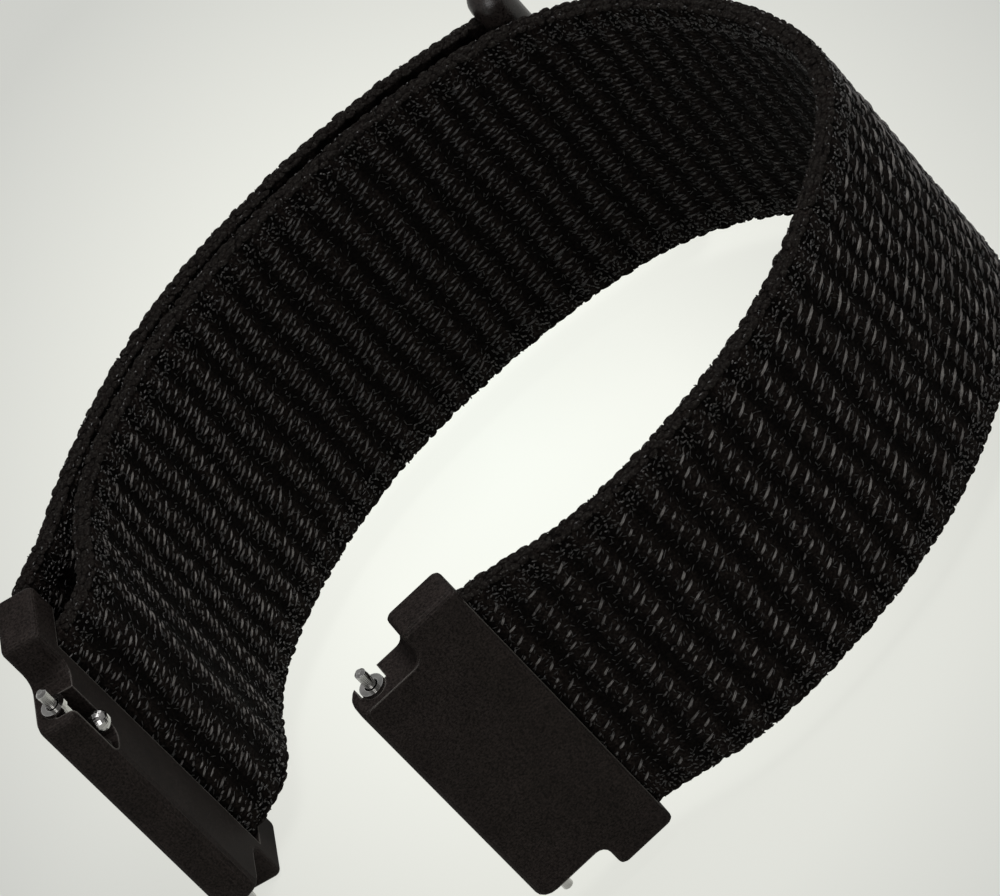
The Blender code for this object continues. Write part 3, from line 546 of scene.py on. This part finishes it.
def ground(name, line, first, last, inner_face):
    """A closed sheet from first to last along the line, ribbed on both faces."""
    shape = bmesh.new()
    steps = round((last - first) / GRID_ALONG), round(WIDTH / GRID_ACROSS)
    bmesh.ops.create_grid(shape, x_segments=steps[0], y_segments=steps[1], size=0.5)
    bmesh.ops.scale(shape, vec=(last - first, WIDTH, 1), verts=shape.verts)
    bmesh.ops.translate(shape, vec=((first + last) / 2, 0, 0), verts=shape.verts)
    bmesh.ops.solidify(shape, geom=shape.faces, thickness=THICK)
    heights = [v.co.z for v in shape.verts]
    halfway = (max(heights) + min(heights)) / 2
    crest = shape.verts.layers.float.new("crest")
    for vertex in shape.verts:
        x, y, z = vertex.co
        inner = float(inner_face(x))
        half, centre = (OUTER - inner) / 2, (OUTER + inner) / 2
        near_edge = min(1.0, max(0.0, abs(y) - WIDTH / 2 + EDGE_ROUND) / EDGE_ROUND)
        full = math.sqrt(1 - near_edge ** 2 * EDGE_FLATTER)
        side = 1 if z > halfway else -1
        depth = rib(x, y, OUTER_ROWS if side > 0 else INNER_ROWS)
        vertex.co.z = centre + side * (half + depth) * full
        vertex[crest] = 1 + depth / RIB
    line.lay(shape)
    bmesh.ops.recalc_face_normals(shape, faces=shape.faces)
    return link(name, finish_mesh(shape, name), WOVEN_BLACK)


print("the cloth is", round(THICK / MM, 1), "mm thick, its free end", round(THIN / MM, 1), "mm")

# %% [markdown]
# ## One float, one knot
# One float is two slender balls side by side, the two plies of its yarn. Small loops, fibres and
# knots are coarse balls, because only their glint shows. Every shape here is repeated thousands
# of times, so it has a few dozen faces at most.

# %% Float and knot
def float_mesh(length, width, height):
    """Two slender balls along X, the shape of one float of two plies."""
    shape = bmesh.new()
    for side in (-1, 1):
        ply = bmesh.ops.create_uvsphere(shape, u_segments=5, v_segments=4, radius=0.5)["verts"]
        bmesh.ops.rotate(shape, cent=(0, 0, 0), matrix=Matrix.Rotation(math.pi / 2, 3, "Y"), verts=ply)
        bmesh.ops.scale(shape, vec=(length, width * 0.6, height), verts=ply)
        bmesh.ops.translate(shape, vec=(side * length * 0.07, side * width * 0.28, 0), verts=ply)
    return finish_mesh(shape, "float")


def knot_mesh(length, width, height, rounder=False):
    """A coarse ball, for loops and fibres so small that only their glint shows."""
    shape = bmesh.new()
    if rounder:
        bmesh.ops.create_uvsphere(shape, u_segments=6, v_segments=5, radius=0.5)
    else:
        bmesh.ops.create_icosphere(shape, subdivisions=1, radius=0.5)
    bmesh.ops.scale(shape, vec=(length, width, height), verts=shape.verts)
    return finish_mesh(shape, "knot")


for sample in (float_mesh(1, 1, 1), knot_mesh(1, 1, 1)):
    print("one", sample.name, "has", len(sample.polygons), "faces")
    bpy.data.meshes.remove(sample)

# %% [markdown]
# ## Repeating a shape
# A loom repeats one stitch across and along. Two Array modifiers do the same, and the result is
# kept as one mesh. Instances would be lighter, but each copy has to differ a little later on.

# %% Repeat with two arrays
def repeated(mesh, counts, pitches):
    """The mesh repeated along X and then across, as arrays of all its points and faces."""
    pattern = bpy.data.objects.new("pattern", mesh)
    bpy.context.scene.collection.objects.link(pattern)
    for axis in (1, 0):
        array = pattern.modifiers.new("rows", "ARRAY")
        array.use_relative_offset, array.use_constant_offset = False, True
        offset = [0.0, 0.0, 0.0]
        offset[axis] = pitches[axis]
        array.constant_offset_displace = offset
        array.count = counts[axis]
    bpy.context.view_layer.update()
    seen = pattern.evaluated_get(bpy.context.evaluated_depsgraph_get())
    made = bpy.data.meshes.new_from_object(seen)
    bpy.data.objects.remove(pattern)
    return made


def evenly(first, last, pitch):
    """The first place and the number of places at an even pitch whose middles lie on a stretch."""
    begin = math.ceil(first / pitch + 0.02)
    return begin * pitch, math.floor(last / pitch + 0.02) - begin + 1


print("places every 0.5 mm on 10 mm:", evenly(0.0, 10 * MM, 0.5 * MM)[1])

# %% [markdown]
# ## Fields of copies
# Real yarn never repeats exactly. So each copy in a field is moved, turned, sized and shaded by a
# little chance, from a fixed seed. Doing this for every copy at once with arrays of numbers takes
# a second, where a loop over objects would take minutes.

# %% Field
# the last value darkens a float's ends with painted shade where they dip into the cloth
LENGTHS_SPREAD, WIDTHS_SPREAD, TIP_PAINTED_SHADE = 0.17, 0.12, 0.7


class Field:
    """Copies of one small mesh in rows and columns, laid on a line after each is moved a little."""

    def __init__(self, name, line, mesh, counts, pitches, start, seed):
        self.name, self.line, self.counts = name, line, (*counts, 1)
        self.chance = np.random.default_rng(seed)
        self.mesh = repeated(mesh, counts, pitches)
        flat = np.empty(len(self.mesh.vertices) * 3)
        self.mesh.vertices.foreach_get("co", flat)
        self.centre = np.zeros((*self.counts, 3))
        self.centre[..., 0] = (np.arange(counts[0]) * pitches[0])[:, None, None]
        self.centre[..., 1] = (np.arange(counts[1]) * pitches[1])[None, :, None]
        self.body = flat.reshape(*counts, len(mesh.vertices), 3) - self.centre
        self.centre[..., 0] += start
        self.centre[..., 1] -= (counts[1] - 1) * pitches[1] / 2

    def jitter(self, along, across_band, out=0.0):
        """Move each copy by chance, with one spread for each direction."""
        for axis, spread in enumerate((along, across_band, out)):
            self.centre[..., axis] += self.chance.normal(0, spread, self.counts)

    def lay(self, lean, spread, shades, rare=1.5, yarn=None, longer=1.0, dip=0.0, gloss_and_painted_light=1.0,
            slot="band_nylon"):
        """Turn, size and shade each copy, dip its two ends and paint shade on them, add painted light by
        place, and lay the field on its line.
        """
        chance, count, body = self.chance, self.counts, self.body
        tip = (body[..., 0] / np.abs(body[..., 0]).max()) ** 2
        body[..., 2] -= np.sign(self.centre[..., 2]) * tip * dip
        body[..., 0] *= longer * chance.normal(1.0, LENGTHS_SPREAD, count).clip(0.6, 1.4)
        body[..., 1] *= chance.normal(1.0, WIDTHS_SPREAD, count)
        turn = np.radians(lean + chance.normal(0, spread, count))
        flat = np.stack([
            self.centre[..., 0] + body[..., 0] * np.cos(turn) - body[..., 1] * np.sin(turn),
            self.centre[..., 1] + body[..., 0] * np.sin(turn) + body[..., 1] * np.cos(turn),
            self.centre[..., 2] + body[..., 2],
        ], axis=-1)
        self.mesh.vertices.foreach_set("co", flat.ravel())
        # each copy's random tone, times the painted light and shade that the caller gives by place
        shade = (shades[0] + (shades[1] - shades[0]) * chance.uniform(0, 1, count) ** rare) * gloss_and_painted_light
        attribute = self.mesh.attributes.new("shade", "FLOAT", "POINT")
        # painted shade on the two dipped ends of each float
        attribute.data.foreach_set("value", (shade * (1 - TIP_PAINTED_SHADE * tip * (dip > 0))).ravel())
        shape = bmesh.new()
        shape.from_mesh(self.mesh)
        self.line.lay(shape)
        bmesh.ops.recalc_face_normals(shape, faces=shape.faces)
        shape.to_mesh(self.mesh)
        shape.free()
        self.mesh.shade_smooth()
        return link(self.name, self.mesh, yarn or GREY_YARN)


print("copies differ by", LENGTHS_SPREAD, "of their length and", WIDTHS_SPREAD, "of their width")

# %% [markdown]
# ## Floats on a face
# On the wrist side the floats are short and close, and on the outer side long and far apart. They
# lean, and at some places of the loop they catch more light than at others, as the photo shows;
# that light is painted into their shade. Tables say so by the place in millimetres along the band.

# %% Faces and their floats
INNER_FLOAT, OUTER_FLOAT = (0.78 * MM, 0.13 * MM, 0.15 * MM), (1.02 * MM, 0.16 * MM, 0.19 * MM)
SMALL_FLOAT = (0.50 * MM, 0.12 * MM, 0.13 * MM)
INNER_PITCH, OUTER_PITCH = 0.56 * MM, 1.10 * MM
BARE_EDGE, ZIGZAG, DIP = 1.3 * MM, 0.22 * MM, 0.09 * MM
STRAY_ALONG, STRAY_ACROSS, STRAY_OUT, STRAY_LEAN = 0.08 * MM, 0.06 * MM, 0.03 * MM, 7
INNER_LOOK = {
    "lean": ((0, 25, 40, 60), (-23, -23, -14, -8)),
    "longer": ((0, 9), (0.85, 1.0)),
    # painted light: floats painted lighter or darker by place along the band
    "gloss_and_painted_light": ((20, 36, 46, 58), (1.1, 0.6, 0.58, 0.78)),
}
OUTER_LOOK = {
    "lean": ((88, 122), (8, 30)),
    "longer": ((75, 90, 100, 118), (1.15, 1.3, 1.2, 0.85)),
    # painted light: floats painted lighter or darker by place along the band
    "gloss_and_painted_light": ((75, 92, 104, 118), (0.8, 0.88, 1.0, 1.1)),
}


class Face:
    """One face of a stretch of cloth: side 1 is the outer one, side -1 the wrist side."""

    def __init__(self, line, first, last, side, level, seed):
        self.line, self.first, self.last = line, first, last
        self.side, self.level, self.seed = side, level, seed
        self.rows, self.tables = (OUTER_ROWS, OUTER_LOOK) if side > 0 else (INNER_ROWS, INNER_LOOK)

    def look(self, x, quality):
        """A quality of the floats at a place along the band."""
        return np.interp(x / MM, *self.tables[quality])

    def field(self, name, mesh, counts, pitches, start=0):
        """A new field on this face, with a seed of its own."""
        self.seed += 1
        return Field(name, self.line, mesh, counts, pitches, start, self.seed - 1)

    def floats(self, name, size, pitch, shades, rare=1.2, shift=0.0, offset=0.0, sink=0.0):
        """Rows of floats, every second row moved sideways by a share of their pitch."""
        numbers = self.rows.between(self.first - shift, self.last - shift)
        columns = int((WIDTH - 2 * BARE_EDGE) / pitch)
        field = self.field(name, float_mesh(*size), (len(numbers), columns), (MM, pitch))
        field.centre[..., 0] = (self.rows.place(numbers) + shift)[:, None, None]
        odd = numbers[:, None, None] % 2 - 0.5
        zigzag = (np.arange(columns) % 2)[None, :, None] - 0.5
        field.centre[..., 1] += (odd * 0.5 + offset) * pitch
        field.centre[..., 0] += zigzag * ZIGZAG
        field.jitter(STRAY_ALONG, STRAY_ACROSS)
        field.centre[..., 0] -= wander(field.centre[..., 0], field.centre[..., 1])
        x = field.centre[..., 0]
        level = np.abs(self.level(x)) - sink + field.chance.normal(0, STRAY_OUT, field.counts)
        field.centre[..., 2] = self.side * level
        return field.lay(self.look(x, "lean"), STRAY_LEAN, shades, rare,
                         longer=self.look(x, "longer"), dip=DIP, gloss_and_painted_light=self.look(x, "gloss_and_painted_light"))


print("floats across a row:", int((WIDTH - 2 * BARE_EDGE) / INNER_PITCH), "inside and",
      int((WIDTH - 2 * BARE_EDGE) / OUTER_PITCH), "outside")

# %% [markdown]
# ## Fuzz and borders
# Loose fibres lie all over a face, turned every way and mostly too dark to see, and without them
# the black between the floats looks painted. Along both long edges the weave turns back in small
# dim loops. Both are fields of coarse balls that follow the face down over its rounded edge.

# %% Fuzz and borders
FIBRE, FIBRE_PITCH, FIBRE_COLUMNS = (0.42 * MM, 0.07 * MM, 0.08 * MM), 0.5 * MM, 44
LOOP, LOOP_PITCH, LOOPS_PER_EDGE = (0.32 * MM, 0.13 * MM, 0.15 * MM), 0.36 * MM, 6
FIBRE_STRAY, LOOP_STRAY = (0.2 * MM, 0.2 * MM, 0.03 * MM), (0.11 * MM, 0.13 * MM, 0.03 * MM)
FALL_FROM, FALL_RADIUS = 0.9 * MM, 3.0 * MM


def edge_fall(y):
    """How far a face has fallen towards the edge at a place across the band."""
    return np.clip(np.abs(y) - WIDTH / 2 + FALL_FROM, 0, None) ** 2 / FALL_RADIUS


def fuzz(face, name):
    """Loose fibres all over the face, with painted shade in the valleys between the ribs."""
    start, rows = evenly(face.first, face.last, FIBRE_PITCH)
    field = face.field(name, knot_mesh(*FIBRE), (rows, FIBRE_COLUMNS), (FIBRE_PITCH, FIBRE_PITCH), start)
    field.jitter(*FIBRE_STRAY)
    x, y = field.centre[..., 0], field.centre[..., 1]
    depth = rib(x, y, face.rows)
    field.centre[..., 2] += face.side * (np.abs(face.level(x)) + depth - edge_fall(y))
    # painted shade: fibres in the valleys are darker, those on the crests lighter
    return field.lay(face.look(x, "lean"), 50, (0.0, 0.38), rare=2.6, gloss_and_painted_light=1 + 0.85 * depth / RIB)


def border(face, name):
    """Small dim loops along both long edges of the face, where the weave turns back."""
    start, rows = evenly(face.first, face.last, LOOP_PITCH)
    columns = np.arange(2 * LOOPS_PER_EDGE)
    field = face.field(name, knot_mesh(*LOOP), (rows, len(columns)), (LOOP_PITCH, 0.4 * MM), start)
    inset = 0.1 * MM + LOOP_PITCH * (columns % LOOPS_PER_EDGE)
    edge = np.where(columns < LOOPS_PER_EDGE, -1, 1) * (WIDTH / 2 - inset)
    field.centre[..., 1] = edge[None, :, None]
    field.jitter(*LOOP_STRAY)
    x, y = field.centre[..., 0], field.centre[..., 1]
    field.centre[..., 2] += face.side * (np.abs(face.level(x)) - 0.05 * MM - edge_fall(y))
    return field.lay(-30 * face.side, 55, (0.06, 0.45), rare=2.0)


print("fibres across a face:", FIBRE_COLUMNS, "and loops along its edges:", 2 * LOOPS_PER_EDGE)

# %% [markdown]
# ## The turned edge
# At the band's long edges the weft turns round and goes back. That gives the real band its
# scalloped outline, so it is made as real shapes: three rows of knots on each edge, the middle
# row half a knot ahead, and long enough to overlap.

# %% Edge knots
KNOT, KNOT_PITCH = (1.08 * MM, 0.40 * MM, 0.60 * MM), 0.8 * MM
KNOT_STRAY = (0.05 * MM, 0.02 * MM, 0.02 * MM)


def edge_knots(name, line, first, last, inner_face, seed):
    """The turns of the weft round both long edges, which give the band its scalloped outline."""
    start, rows = evenly(first, last, KNOT_PITCH)
    field = Field(name, line, knot_mesh(*KNOT, rounder=True), (rows, 6), (KNOT_PITCH, MM), start, seed)
    order = (np.arange(6) % 3 - 1)[None, :, None]
    deep = 0.07 * MM * (np.arange(rows) % 2)[:, None, None] + 0.06 * MM * np.abs(order)
    field.centre[..., 1] = np.sign(field.centre[..., 1]) * (WIDTH / 2 - 0.02 * MM - deep)
    field.centre[..., 0] += (order == 0) * KNOT_PITCH / 2
    inner = inner_face(field.centre[..., 0])
    field.centre[..., 2] = (OUTER + inner) / 2 + order * (OUTER - inner) * 0.27
    field.jitter(*KNOT_STRAY)
    return field.lay(0, 7, (0.0, 0.1), yarn=EDGE_YARN)


print("a knot every", round(KNOT_PITCH / MM, 2), "mm, each", round(KNOT[0] / MM, 2), "mm long")

# %% [markdown]
# ## Stretches of the band
# The band is one strip, but its model bends at a few places. A stretch between such places rides
# on one body. A stretch that crosses one is baked in place where it lies. Its yarn is held in the
# same way.

# %% A stretch with its yarn
def stretch(name, line, first, last, hold, inner_face=full_inner, bare_from=1.0, seed=1):
    """A stretch of cloth with its floats. hold ties each piece to its body or bakes it in place."""
    cloth = ground(name, line, first, last, inner_face)
    outside = Face(line, first, last, 1, lambda x: 0 * x + OUTER, seed)
    threads = [
        outside.floats(name + "_outer_floats", OUTER_FLOAT, OUTER_PITCH, (0.6, 1.15), rare=1.0),
        outside.floats(name + "_outer_small_floats", SMALL_FLOAT, OUTER_PITCH, (0.0, 0.8), rare=1.8,
                       shift=0.7 * MM, offset=0.35, sink=0.04 * MM),
        fuzz(outside, name + "_outer_fuzz"),
        border(outside, name + "_outer_border"),
    ]
    covered = min(last, bare_from)
    if covered > first:
        inside = Face(line, first, covered, -1, inner_face, seed + 100)
        threads += [
            inside.floats(name + "_inner_floats", INNER_FLOAT, INNER_PITCH, (0.55, 1.0), rare=1.2),
            inside.floats(name + "_inner_small_floats", SMALL_FLOAT, INNER_PITCH, (0.0, 0.6), rare=3.0,
                          shift=-0.5 * MM, offset=0.4, sink=0.03 * MM),
            fuzz(inside, name + "_inner_fuzz"),
            border(inside, name + "_inner_border"),
        ]
    threads.append(edge_knots(name + "_edge", line, first, last, inner_face, seed + 90))
    for piece in [cloth, *threads]:
        hold(piece)
    print(name, "has", len(threads), "pieces of yarn with", triangles(*threads), "triangles")
    return cloth


def riding(body):
    """A hold for pieces that move with one body."""
    return lambda piece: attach(piece, body)


def turning(before, after, start, end):
    """A hold for pieces that cross a bend between two bodies: it bakes them in place."""
    return lambda piece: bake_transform(piece)


def along_line(line, at):
    """The place on a line at a length from its start."""
    i = np.searchsorted(line.at, at)
    return (*line.points[i], MIDDLE)


print("holds:", riding.__name__, turning.__name__)

# %% [markdown]
# ## The band
# The back of the loop stays with the band, and its front moves with adapter A when the loop is
# opened. Between the two the real band bends over a long stretch; here that stretch is baked in
# place. That stretch stands for no solid of its own, and the other two replace theirs.

# %% Band
BEND_FROM, BEND_TO, BLEND_IN = 65 * MM, 105 * MM, 3 * MM

back = stretch("band_back", band_line, 0.0, BEND_FROM, riding("band"), seed=1)
stretch(
    "band_bend", band_line, BEND_FROM, BEND_TO,
    turning("band", "front_end", along_line(band_line, BEND_FROM + BLEND_IN),
            along_line(band_line, BEND_TO - BLEND_IN)),
    seed=2,
)
front = stretch("band_front", band_line, BEND_TO, BAND_END, riding("front_end"), seed=3)
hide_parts("strap_back")
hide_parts("strap_front")
print("the band bends over", round((BEND_TO - BEND_FROM) / MM), "mm")

# %% [markdown]
# ## The doubled-back tail
# The band goes round the bar of adapter B and back over itself. Its fold turns about that bar
# when the tail is lifted. Further on the tail has two more bends. Each stretch of the tail is
# baked in place where it lies.

# %% Tail
ROOT_END, MIDDLE_END = 10.5 * MM, 29 * MM
MIDDLE_BEND, END_BEND = (18.5 * MM, 22.8 * MM), (36.0 * MM, 40.5 * MM)
HOOKS_FROM = 39.0 * MM
BAR_SIDE = 1.4 * MM


def tail_bend(before, after, places):
    """A hold for pieces that cross a bend between two places along the tail: it bakes them in place."""
    return turning(before, after, *(along_line(tail_line, at) for at in places))


end_bend = tail_bend("tail_mid", "tail_tip", END_BEND)
near = stretch(
    "tail_fold", tail_line, -FOLD_LENGTH, ROOT_END,
    turning("band", "tail_root", (BAR.x + BAR_SIDE, BAR.y, MIDDLE), (BAR.x - BAR_SIDE, BAR.y, MIDDLE)),
    inner_face=tail_inner, seed=4,
)
middle = stretch(
    "tail_middle_cloth", tail_line, ROOT_END, MIDDLE_END, tail_bend("tail_root", "tail_mid", MIDDLE_BEND),
    inner_face=tail_inner, seed=5,
)
end = stretch(
    "tail_end_cloth", tail_line, MIDDLE_END, TAIL_END, end_bend,
    inner_face=tail_inner, bare_from=HOOKS_FROM, seed=6,
)
for cloth, solid in ((near, "tail_near"), (middle, "tail_middle"), (end, "tail_end")):
    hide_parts(solid)
print("the tail is", round(TAIL_END / MM, 1), "mm long after its fold")

# %% [markdown]
# ## Hooks
# Hook tape is a thin nylon backing with short stiff hooks in rows. Each real hook is a loop of
# thick thread that was cut on one side. A particle system could plant them, but a field keeps
# their rows. One hook is a small square that is spun through most of a turn.

# %% One hook and its backing
HOOK_WIDTH, HOOK_END = 20.0 * MM, 55.7 * MM
HOOK_TOP = THICK / 2 - THIN - 0.02 * MM
BACKING = 0.15 * MM
HOOK_WIRE, HOOK_RADIUS, HOOK_TURN = 0.09 * MM, 0.13 * MM, math.radians(230)


def hook_mesh():
    """One hook: a wire bent over in most of a circle, standing on the XY plane's minus Z side."""
    shape = bmesh.new()
    ring = bmesh.ops.create_circle(shape, cap_ends=True, segments=4, radius=HOOK_WIRE / 2)["verts"]
    bmesh.ops.translate(shape, vec=(HOOK_RADIUS, 0, 0), verts=ring)
    bmesh.ops.spin(
        shape, geom=shape.verts[:] + shape.edges[:] + shape.faces[:], cent=(0, 0, 0), axis=(0, 1, 0),
        angle=HOOK_TURN, steps=6, use_merge=False,
    )
    bmesh.ops.recalc_face_normals(shape, faces=shape.faces)
    return finish_mesh(shape, "hook")


def backing(name, line, first, last):
    """The thin strip that carries the hooks."""
    shape = bmesh.new()
    bmesh.ops.create_grid(shape, x_segments=round((last - first) / MM), y_segments=8, size=0.5)
    bmesh.ops.scale(shape, vec=(last - first, HOOK_WIDTH, 1), verts=shape.verts)
    bmesh.ops.translate(shape, vec=((first + last) / 2, 0, 0), verts=shape.verts)
    bmesh.ops.solidify(shape, geom=shape.faces, thickness=BACKING)
    top = max(v.co.z for v in shape.verts)
    bmesh.ops.translate(shape, vec=(0, 0, HOOK_TOP - top), verts=shape.verts)
    line.lay(shape)
    bmesh.ops.recalc_face_normals(shape, faces=shape.faces)
    return link(name, finish_mesh(shape, name), EDGE_YARN)


patch = backing("hook_backing", tail_line, HOOKS_FROM, HOOK_END)
print("the backing is", round((HOOK_END - HOOKS_FROM) / MM, 1), "mm long")

# %% [markdown]
# The hooks stand in rows on the backing, each turned a little. Backing and hooks are held like
# the tail's free end, baked in place.

# %% Hook patch
HOOK_PITCHES, HOOK_COLUMNS = (0.8 * MM, 0.88 * MM), 22
hook_rows = int((HOOK_END - HOOKS_FROM) / HOOK_PITCHES[0])
field = Field(
    "hooks", tail_line, hook_mesh(), (hook_rows, HOOK_COLUMNS), HOOK_PITCHES,
    HOOKS_FROM + HOOK_PITCHES[0] / 2, seed=77,
)
field.jitter(0.04 * MM, 0.04 * MM)
field.centre[..., 2] = HOOK_TOP - BACKING - 0.10 * MM
hooks = field.lay(0, 10, (0.1, 0.6), slot="hook_nylon")
for piece in (patch, hooks):
    end_bend(piece)
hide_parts("hook_patch")
print("hooks:", hook_rows * HOOK_COLUMNS)

# %% [markdown]
# ## Moulded plastic
# The adapters and the stop bar are moulded in matte black plastic. The tool that makes them is
# spark eroded, so their skin has a fine grain, which noise gives in colour, gloss and relief.
# Handling polishes sharp edges, and a painted highlight lies along them. The Bevel node finds
# them: it bends the normal near an edge, and where the bent normal leans away from the true one
# the plastic is glossier and painted paler as a highlight.

# %% Plastic
# a painted highlight colour that sharp edges are mixed towards
EDGE_PAINTED_HIGHLIGHT = (0.07, 0.065, 0.06, 1)


def sharp_edge_mask(tree, radius, gain):
    """How much a place lies on a sharp edge, where the bevelled normal leans from the true one."""
    soft = node(tree, "Bevel", (("Radius", radius),), samples=4)
    true = node(tree, "NewGeometry").outputs["Normal"]
    facing = node(tree, "VectorMath", ((0, soft.outputs[0]), (1, true)), operation="DOT_PRODUCT")
    lean = maths(tree, "SUBTRACT", 0.97, facing.outputs["Value"])
    return maths(tree, "MULTIPLY", lean, gain, True)


def moulded_black(name, shade, rough, gloss_and_painted_light, rounding=0.0):
    """Matte black plastic. rounding softens the facets of a piece that is round."""
    material, tree, output = new_material(name)
    fine = grain(tree, 6500, 2.0)
    coarse = grain(tree, 350, 3.0)
    darker, paler = (tuple(c * gain for c in shade) for gain in (1.3, 1.75))
    colour = ramp(tree, coarse, (0.3, darker), (0.7, paler))
    colour = product(tree, colour, ramp(tree, fine, (0.34, 0.3), (0.66, 1.0)))
    polish_and_highlight = sharp_edge_mask(tree, 0.2 * MM, 6.0)
    dull = ramp(tree, fine, (0.3, rough - 0.06), (0.7, rough + 0.08))
    gloss = maths(tree, "SUBTRACT", dull, maths(tree, "MULTIPLY", polish_and_highlight, 0.15))
    soft = node(tree, "Bevel", (("Radius", rounding),), samples=8).outputs[0] if rounding else None
    relief = bump(tree, fine, 0.00002, 0.5, soft)
    # painted highlight: sharp edges are mixed towards a paler colour
    highlighted_plastic = node(tree, "Mix", ((0, polish_and_highlight), (6, colour), (7, EDGE_PAINTED_HIGHLIGHT)), data_type="RGBA")
    plastic = node(tree, "BsdfPrincipled", (
        ("Base Color", highlighted_plastic.outputs[2]), ("Roughness", gloss), ("Normal", relief),
        ("Specular IOR Level", gloss_and_painted_light),
    ))
    tree.links.new(plastic.outputs[0], output.inputs[0])
    return material


HOUSING_PLASTIC = moulded_black("housing_plastic", (0.0094, 0.0075, 0.0068), 0.55, 0.02)
STOP_PLASTIC = moulded_black("stop_bar_plastic", (0.0095, 0.0072, 0.0064), 0.3, 0.35, 0.6 * MM)
print("plastics:", HOUSING_PLASTIC.name, STOP_PLASTIC.name)

# %% [markdown]
# ## Turned steel
# The bars and tips are turned from stainless steel. They keep faint rings round their axis from
# the cutter. An anisotropic shader could hint at them, and a wave along the height does it with
# real rings. A painted reflection brightens the colour towards grazing angles, and a painted
# highlight lies on sharp edges, so that thin bars read as metal.

# %% Steel
# the painted highlight colour for the rim and sharp edges
STEEL_PAINTED_HIGHLIGHT = (0.85, 0.84, 0.82, 1)


def turned_steel():
    """Stainless steel with fine rings round its axis, a painted reflection on its rim and a painted
    highlight on sharp edges.
    """
    material, tree, output = new_material("turned_steel")
    place = node(tree, "TexCoord").outputs["Object"]
    rings = node(tree, "TexWave", (
        ("Vector", place), ("Scale", 2600.0), ("Distortion", 1.5), ("Detail", 2.0),
    ), bands_direction="Z")
    smear = grain(tree, 900, 3.0)
    colour = ramp(tree, smear, (0.3, (0.20, 0.197, 0.19)), (0.7, (0.38, 0.372, 0.36)))
    rough = ramp(tree, smear, (0.3, 0.08), (0.75, 0.2))
    # painted reflection: the colour brightens towards grazing angles, plus a painted highlight on sharp
    # edges
    rim = maths(tree, "POWER", node(tree, "LayerWeight", (("Blend", 0.4),)).outputs["Facing"], 1.6)
    bright = maths(tree, "ADD", rim, sharp_edge_mask(tree, 0.12 * MM, 6.0), True)
    highlighted_steel = node(tree, "Mix", ((0, bright), (6, colour), (7, STEEL_PAINTED_HIGHLIGHT)), data_type="RGBA")
    steel = node(tree, "BsdfPrincipled", (
        ("Base Color", highlighted_steel.outputs[2]), ("Roughness", rough), ("Metallic", 1.0),
        ("Normal", bump(tree, rings.outputs["Fac"], 0.00001, 0.4)),
    ))
    tree.links.new(steel.outputs[0], output.inputs[0])
    return material


STEEL = turned_steel()
print("steel:", STEEL.name)

# %% [markdown]
# ## Finishing the model's own pieces
# The housings, the stop bar and the turned bars keep the model's shapes. Each only needs its
# material, and its name tells which. The cloth solids are left out, because sheets stand for them.

# %% Finish the hard pieces
FINISHES = (
    (("housing",), HOUSING_PLASTIC), (("pull_tab",), STOP_PLASTIC),
    (("bar_", "hem_pin", "cross_bar"), STEEL),
)
for starts, finish in FINISHES:
    hard = [piece for name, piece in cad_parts.items() if name.startswith(starts)]
    for piece in hard:
        for slot in piece.material_slots:
            slot.material = finish
    print(finish.name, "goes on", len(hard), "pieces")

# %% [markdown]
# ## Springs
# A spring bar's spring is a coil of round wire, wound from one small circle that turns and climbs.
# When the knob is pulled, the sliding tip presses the coil together.

# %% Coil springs
WIRE, TURNS, STEPS_PER_TURN, RELEASE = 0.14 * MM, 14, 12, 1.3 * MM


def coil(name, low, high):
    """A coil that fills the box between two corners, around its vertical axis."""
    middle = (low + high) / 2
    radius = (high.x - low.x) / 2 - WIRE / 2
    height = high.z - low.z - WIRE
    steps = TURNS * STEPS_PER_TURN
    shape = bmesh.new()
    ring = bmesh.ops.create_circle(shape, cap_ends=True, segments=8, radius=WIRE / 2)["verts"]
    bmesh.ops.rotate(shape, cent=(0, 0, 0), matrix=Matrix.Rotation(math.pi / 2, 3, "X"), verts=ring)
    bmesh.ops.translate(shape, vec=(middle.x + radius, middle.y, low.z + WIRE / 2), verts=ring)
    bmesh.ops.spin(
        shape, geom=shape.verts[:] + shape.edges[:] + shape.faces[:], cent=middle, axis=(0, 0, 1),
        dvec=(0, 0, height / steps), angle=math.tau * TURNS, steps=steps, use_merge=False,
    )
    bmesh.ops.recalc_face_normals(shape, faces=shape.faces)
    return link(name, finish_mesh(shape, name), STEEL)


for mark, body in (("a", "front_end"), ("b", "adapter_b")):
    low, high = (Vector(corner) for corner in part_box(f"bar_spring_{mark}"))
    spring = coil(f"coil_{mark}", low, high)
    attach(spring, body)
    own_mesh(spring)
    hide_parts(f"bar_spring_{mark}")

# %% [markdown]
# ## Sizes
# The pieces that are shown are counted, with their triangles.

# %% Count the pieces
shown = [piece for piece in bpy.context.scene.objects if piece.type == "MESH" and not piece.hide_render]
print(len(shown), "pieces of", triangles(*shown), "triangles")
